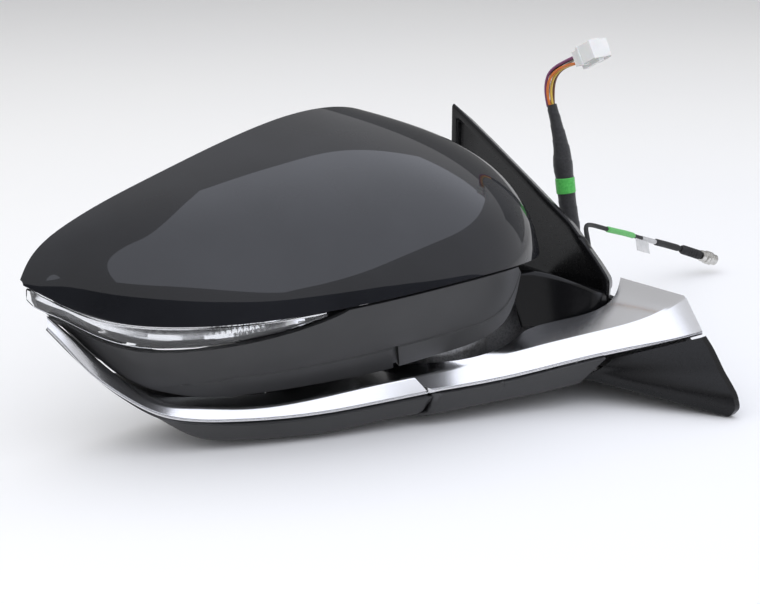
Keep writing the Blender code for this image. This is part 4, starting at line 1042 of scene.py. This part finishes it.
def fittings():
    """The grommets, the camera eye and the ground lamp."""
    back = SAIL_BACK + 0.3
    ribs = [(8.6, back), (8.6, 0.8), (10.2, 0.8), (10.4, 1.0), (10.4, 2.4), (10.1, 2.7)]
    for level in (3.2, 4.3, 5.4):
        radius = 10.0 - (level - 2.7) * 0.95
        ribs += [(radius, level), (radius - 0.9, level + 0.25), (radius - 0.9, level + 0.7)]
    ribs += [(6.4, 6.7), (5.6, 6.7), (5.4, 6.2), (5.4, back)]
    turned("grommet", HARNESS_EXIT, ribs, "X", RUBBER, "base", closed=True, replaces=["harness_grommet"],
           slot="rubber")
    eye = [(1.2, -26.9), (2.6, -26.75), (3.8, -26.35), (4.9, -25.7), (5.2, -25.3), (5.4, -25.3), (5.5, -25.8),
           (6.2, -25.7), (6.4, -25.3), (6.4, -23.9)]
    turned("eye", CAMERA_EYE, eye, "Z", EYE, "head", replaces=["camera_lens"], slot="clear_lens")
    rings = [(1.0, -24.6)]
    for radius in np.arange(1.8, 9.2, 1.0):
        rings += [(radius, -24.5 + 0.05 * radius), (radius + 0.5, -24.2 + 0.05 * radius)]
    rings += [(10.4, -24.0), (11.0, -23.4), (11.0, -21)]
    turned("lamp_glass", GROUND_LAMP, rings, "Z", CLEAR, "head", replaces=["ground_lamp_lens"],
           slot="clear_lens")


# Wiring

def sleeve():
    """The taped bundle: it thins to its end, and each turn of the tape stands a little over the last."""
    line = spline(SLEEVE, np.linspace(0, 1, 150))
    along = np.linspace(0, 1, 150)[:, None]
    turn = np.arange(32) / 32
    lap = ((along * line_length(line) / 8.5 + turn) % 1)
    swell = 0.9 * np.exp(-((along - 0.60) / 0.07) ** 2) * (0.5 + 0.5 * np.cos(2 * math.pi * (turn - 0.62)))
    radius = np.interp(along, *np.transpose(SLEEVE_RADII)) + 0.22 * lap ** 2 + swell
    wrap = tube("sleeve", line, radius, TAPE, "base", count=32, replaces=["harness_sleeve"],
                slot="cloth_tape")
    band = spline(SLEEVE, np.linspace(0.40, 0.505, 24))
    radii = np.interp(np.linspace(0.40, 0.505, 24), *np.transpose(SLEEVE_RADII)) + 0.55
    radii[0] -= 0.3
    radii[-1] -= 0.3
    mark = tube("green_band", band, radii, GREEN, "base", count=32)
    return wrap, mark, line


def wires():
    """The coloured wires from the sleeve to the connector, each bowing its own way."""
    ends = zip(WIRE_STARTS, WIRE_ENDS, WIRE_STRAYS, WIRE_COLOURS)
    for number, (start, end, stray, colour) in enumerate(ends, 1):
        middle = [np.add(p, (np.array(start) * [1, 1, 0] + end) / 2) + [0, stray * k, 0]
                  for p, k in zip(WIRE_PATH, (0.3, 1.0, 0.6))]
        route = [np.add(SLEEVE_END, start), *middle, np.add(CONNECTOR_FACE, end)]
        line = spline(route, np.linspace(0, 1, 34))
        curve = cord_curve(f"wire_{number}", line, 0.75, insulation(f"{colour}_wire", WIRE_COLOURS[colour]))
        settle(curve, "base", [f"harness_wire_{number}"])


def cord_curve(name, line, radius, look):
    data = bpy.data.curves.new(name, "CURVE")
    data.dimensions = "3D"
    data.bevel_depth = radius * MM
    data.bevel_resolution = 4
    data.use_fill_caps = True
    run = data.splines.new("POLY")
    run.points.add(len(line) - 1)
    for point, spot in zip(run.points, line.tolist()):
        point.co = (*(MM * c for c in spot), 1)
    data.materials.append(look)
    obj = bpy.data.objects.new(name, data)
    SCENE.collection.objects.link(obj)
    return obj


def connector():
    """A white plug: a flanged back, a stepped body with ribs and a latch."""
    run = np.array([0, -0.87, 0.49]) / math.hypot(0.87, 0.49)
    side = np.array([1.0, 0, 0])
    over = np.cross(side, run)
    start = np.array(CONNECTOR_FACE) + run * 1.6
    boxes = [((-6.0, -4.2, 0), (6.0, 4.2, 4.2)), ((-7.0, -5.0, 4.2), (7.0, 5.0, 15.2)),
             ((-7.4, -5.4, 5.2), (7.4, 5.4, 6.4)), ((-2.2, 4.2, 0.8), (2.2, 6.4, 13.2)),
             ((-3.2, -6.0, 9.4), (3.2, -5.0, 13.4))]
    for x in (-6.6, -3.8, 3.8, 6.0):
        boxes.append(((x, 5.0, 7.2), (x + 0.6, 5.6, 15.0)))
    points, faces = [], []
    for low, high in boxes:
        faces += [tuple(len(points) + k for k in face) for face in BOX_FACES]
        points += [start + side * x + over * y + run * z for x, y, z in corners_of(low, high)]
    return add_mesh("connector", points, faces, WHITE, "base", replaces=["harness_connector"],
                    slot="white_plastic", bevel=0.35)


def lead():
    """The camera's thin lead, with its green sleeve, a film tag, a long boot and a plated plug."""
    grommet = turned("lead_grommet", LEAD_EXIT, [(3.3, SAIL_BACK + 0.3), (3.3, 2.6), (2.9, 3.4), (2.2, 6.4),
                                                  (1.6, 6.6), (1.5, SAIL_BACK + 0.3)], "X", RUBBER, "base",
                     count=24, closed=True, replaces=["camera_lead_grommet"], slot="rubber")
    line = spline(LEAD, np.linspace(0, 1, 60))
    curve = cord_curve("lead", line, 1.3, RUBBER)
    settle(curve, "base", ["camera_lead"])
    for name, ends, radius, look in (("lead_green", (62, 104), 1.75, GREEN),
                                     ("lead_film", (116, 136), 1.55, FILM),
                                     ("lead_shrink", (136, 166), 2.1, RUBBER)):
        part = spline(LEAD, np.linspace(t_at(LEAD, ends[0]), t_at(LEAD, ends[1]), 26))
        radii = np.full(26, radius)
        radii[0] = radii[-1] = radius - 0.3
        tube(name, part, radii, look, "base")
    tag()
    start, end = np.array(PLUG_START), np.array(PLUG_END)
    run = (end - start) / np.linalg.norm(end - start)
    boot = [(2.2, 0), (2.9, 1.4), (3.0, 3)]
    for level in (4.5, 6.5, 8.5, 10.5):
        boot += [(3.0, level), (2.6, level + 0.3), (2.6, level + 0.9), (3.0, level + 1.2)]
    boot += [(3.0, 15), (2.6, 16)]
    plug = [(2.4, 16.4), (3.5, 16.8), (3.6, 17.2), (3.6, 19.6), (3.3, 19.9), (3.3, 20.4), (4.1, 20.6),
            (4.2, 20.9), (4.2, 22.2), (3.9, 22.4), (3.9, 22.8), (4.2, 23.0), (4.2, 24.8), (4.0, 25.1),
            (3.4, 25.5), (3.4, 28.7), (3.1, 29.0), (2.4, 29.0), (2.3, 27.2), (0.8, 27.0)]
    for name, profile, look, node, slot in (("boot", boot, RUBBER, "lead_boot", "rubber"),
                                            ("plug", plug, PLATED, "lead_plug", "steel")):
        side = np.cross(run, [0, 0, 1.0])
        side /= np.linalg.norm(side)
        over = np.cross(side, run)
        flat = circle(1.0, 32)
        rings = [start + run * level + radius * (flat[:, :1] * side + flat[:, 1:] * over)
                 for radius, level in profile]
        loft(name, rings, look, "base", replaces=[node], slot=slot)


def tag():
    """A blank film tag folded round the lead, with its free end hanging."""
    middle = spline(LEAD, np.linspace(t_at(LEAD, 105), t_at(LEAD, 124), 12))
    down = np.array([0.0, 0.0, -1.0])
    lean = np.array([0.1, -0.35, 0])
    outer = []
    for drop in np.linspace(0, 7.5, 8):
        outer.append(middle + down * (1.0 + drop) + lean * drop * 0.5 + [0, -1.4, 0])
    outer = np.stack(outer, axis=1)
    return shell("lead_tag", outer, outer + [0, 0.25, 0], FILM, "base")


def harness():
    plug = connector()
    wires()
    wrap, mark, line = sleeve()
    lead()


# CAD nodes that stay

KEPT = {"base_bracket": "cast_alloy", "pivot_post": "steel", "fold_gear": "gear_metal",
        "post_washer": "steel", "fold_spring": "steel", "door_gasket": "foam", "head_frame": "nylon",
        "frame_screw_1": "steel", "frame_screw_2": "steel", "frame_screw_3": "steel",
        "fold_drive_case": "nylon", "fold_motor": "steel", "fold_worm": "steel",
        "actuator_case": "nylon", "actuator_cover": "nylon", "glass_motor_1": "steel",
        "glass_motor_2": "steel", "tilt_ring": "nylon", "pan_rod": "nylon", "tilt_rod": "nylon",
        "glass_carrier": "nylon", "heater_pad": "heater_foil", "lamp_board": "circuit_board",
        "camera_body": "nylon", "ground_lamp": "nylon"}


def finish_nodes():
    """Gives every CAD node that still shows its own material."""
    looks = {"cast_alloy": ALLOY, "steel": STEEL, "gear_metal": BRASS, "foam": FOAM, "nylon": NYLON,
             "heater_foil": FOIL, "circuit_board": BOARD}
    for name, kind in KEPT.items():
        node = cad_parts[name]
        for slot in node.material_slots:
            slot.material = looks[kind]
        if kind in ("cast_alloy", "nylon"):
            add_bevel(node, 0.5, 2)


def main():
    SCENE.view_settings.view_transform = "Standard"
    camera()
    harness()
    sweep()
    lights()
    dark_card()
    cap()
    housing()
    lens()
    strip()
    arm()
    head_under()
    foot_under()
    surround()
    glass()
    sail()
    neck()
    toe()
    studs()
    fittings()
    finish_nodes()


main()
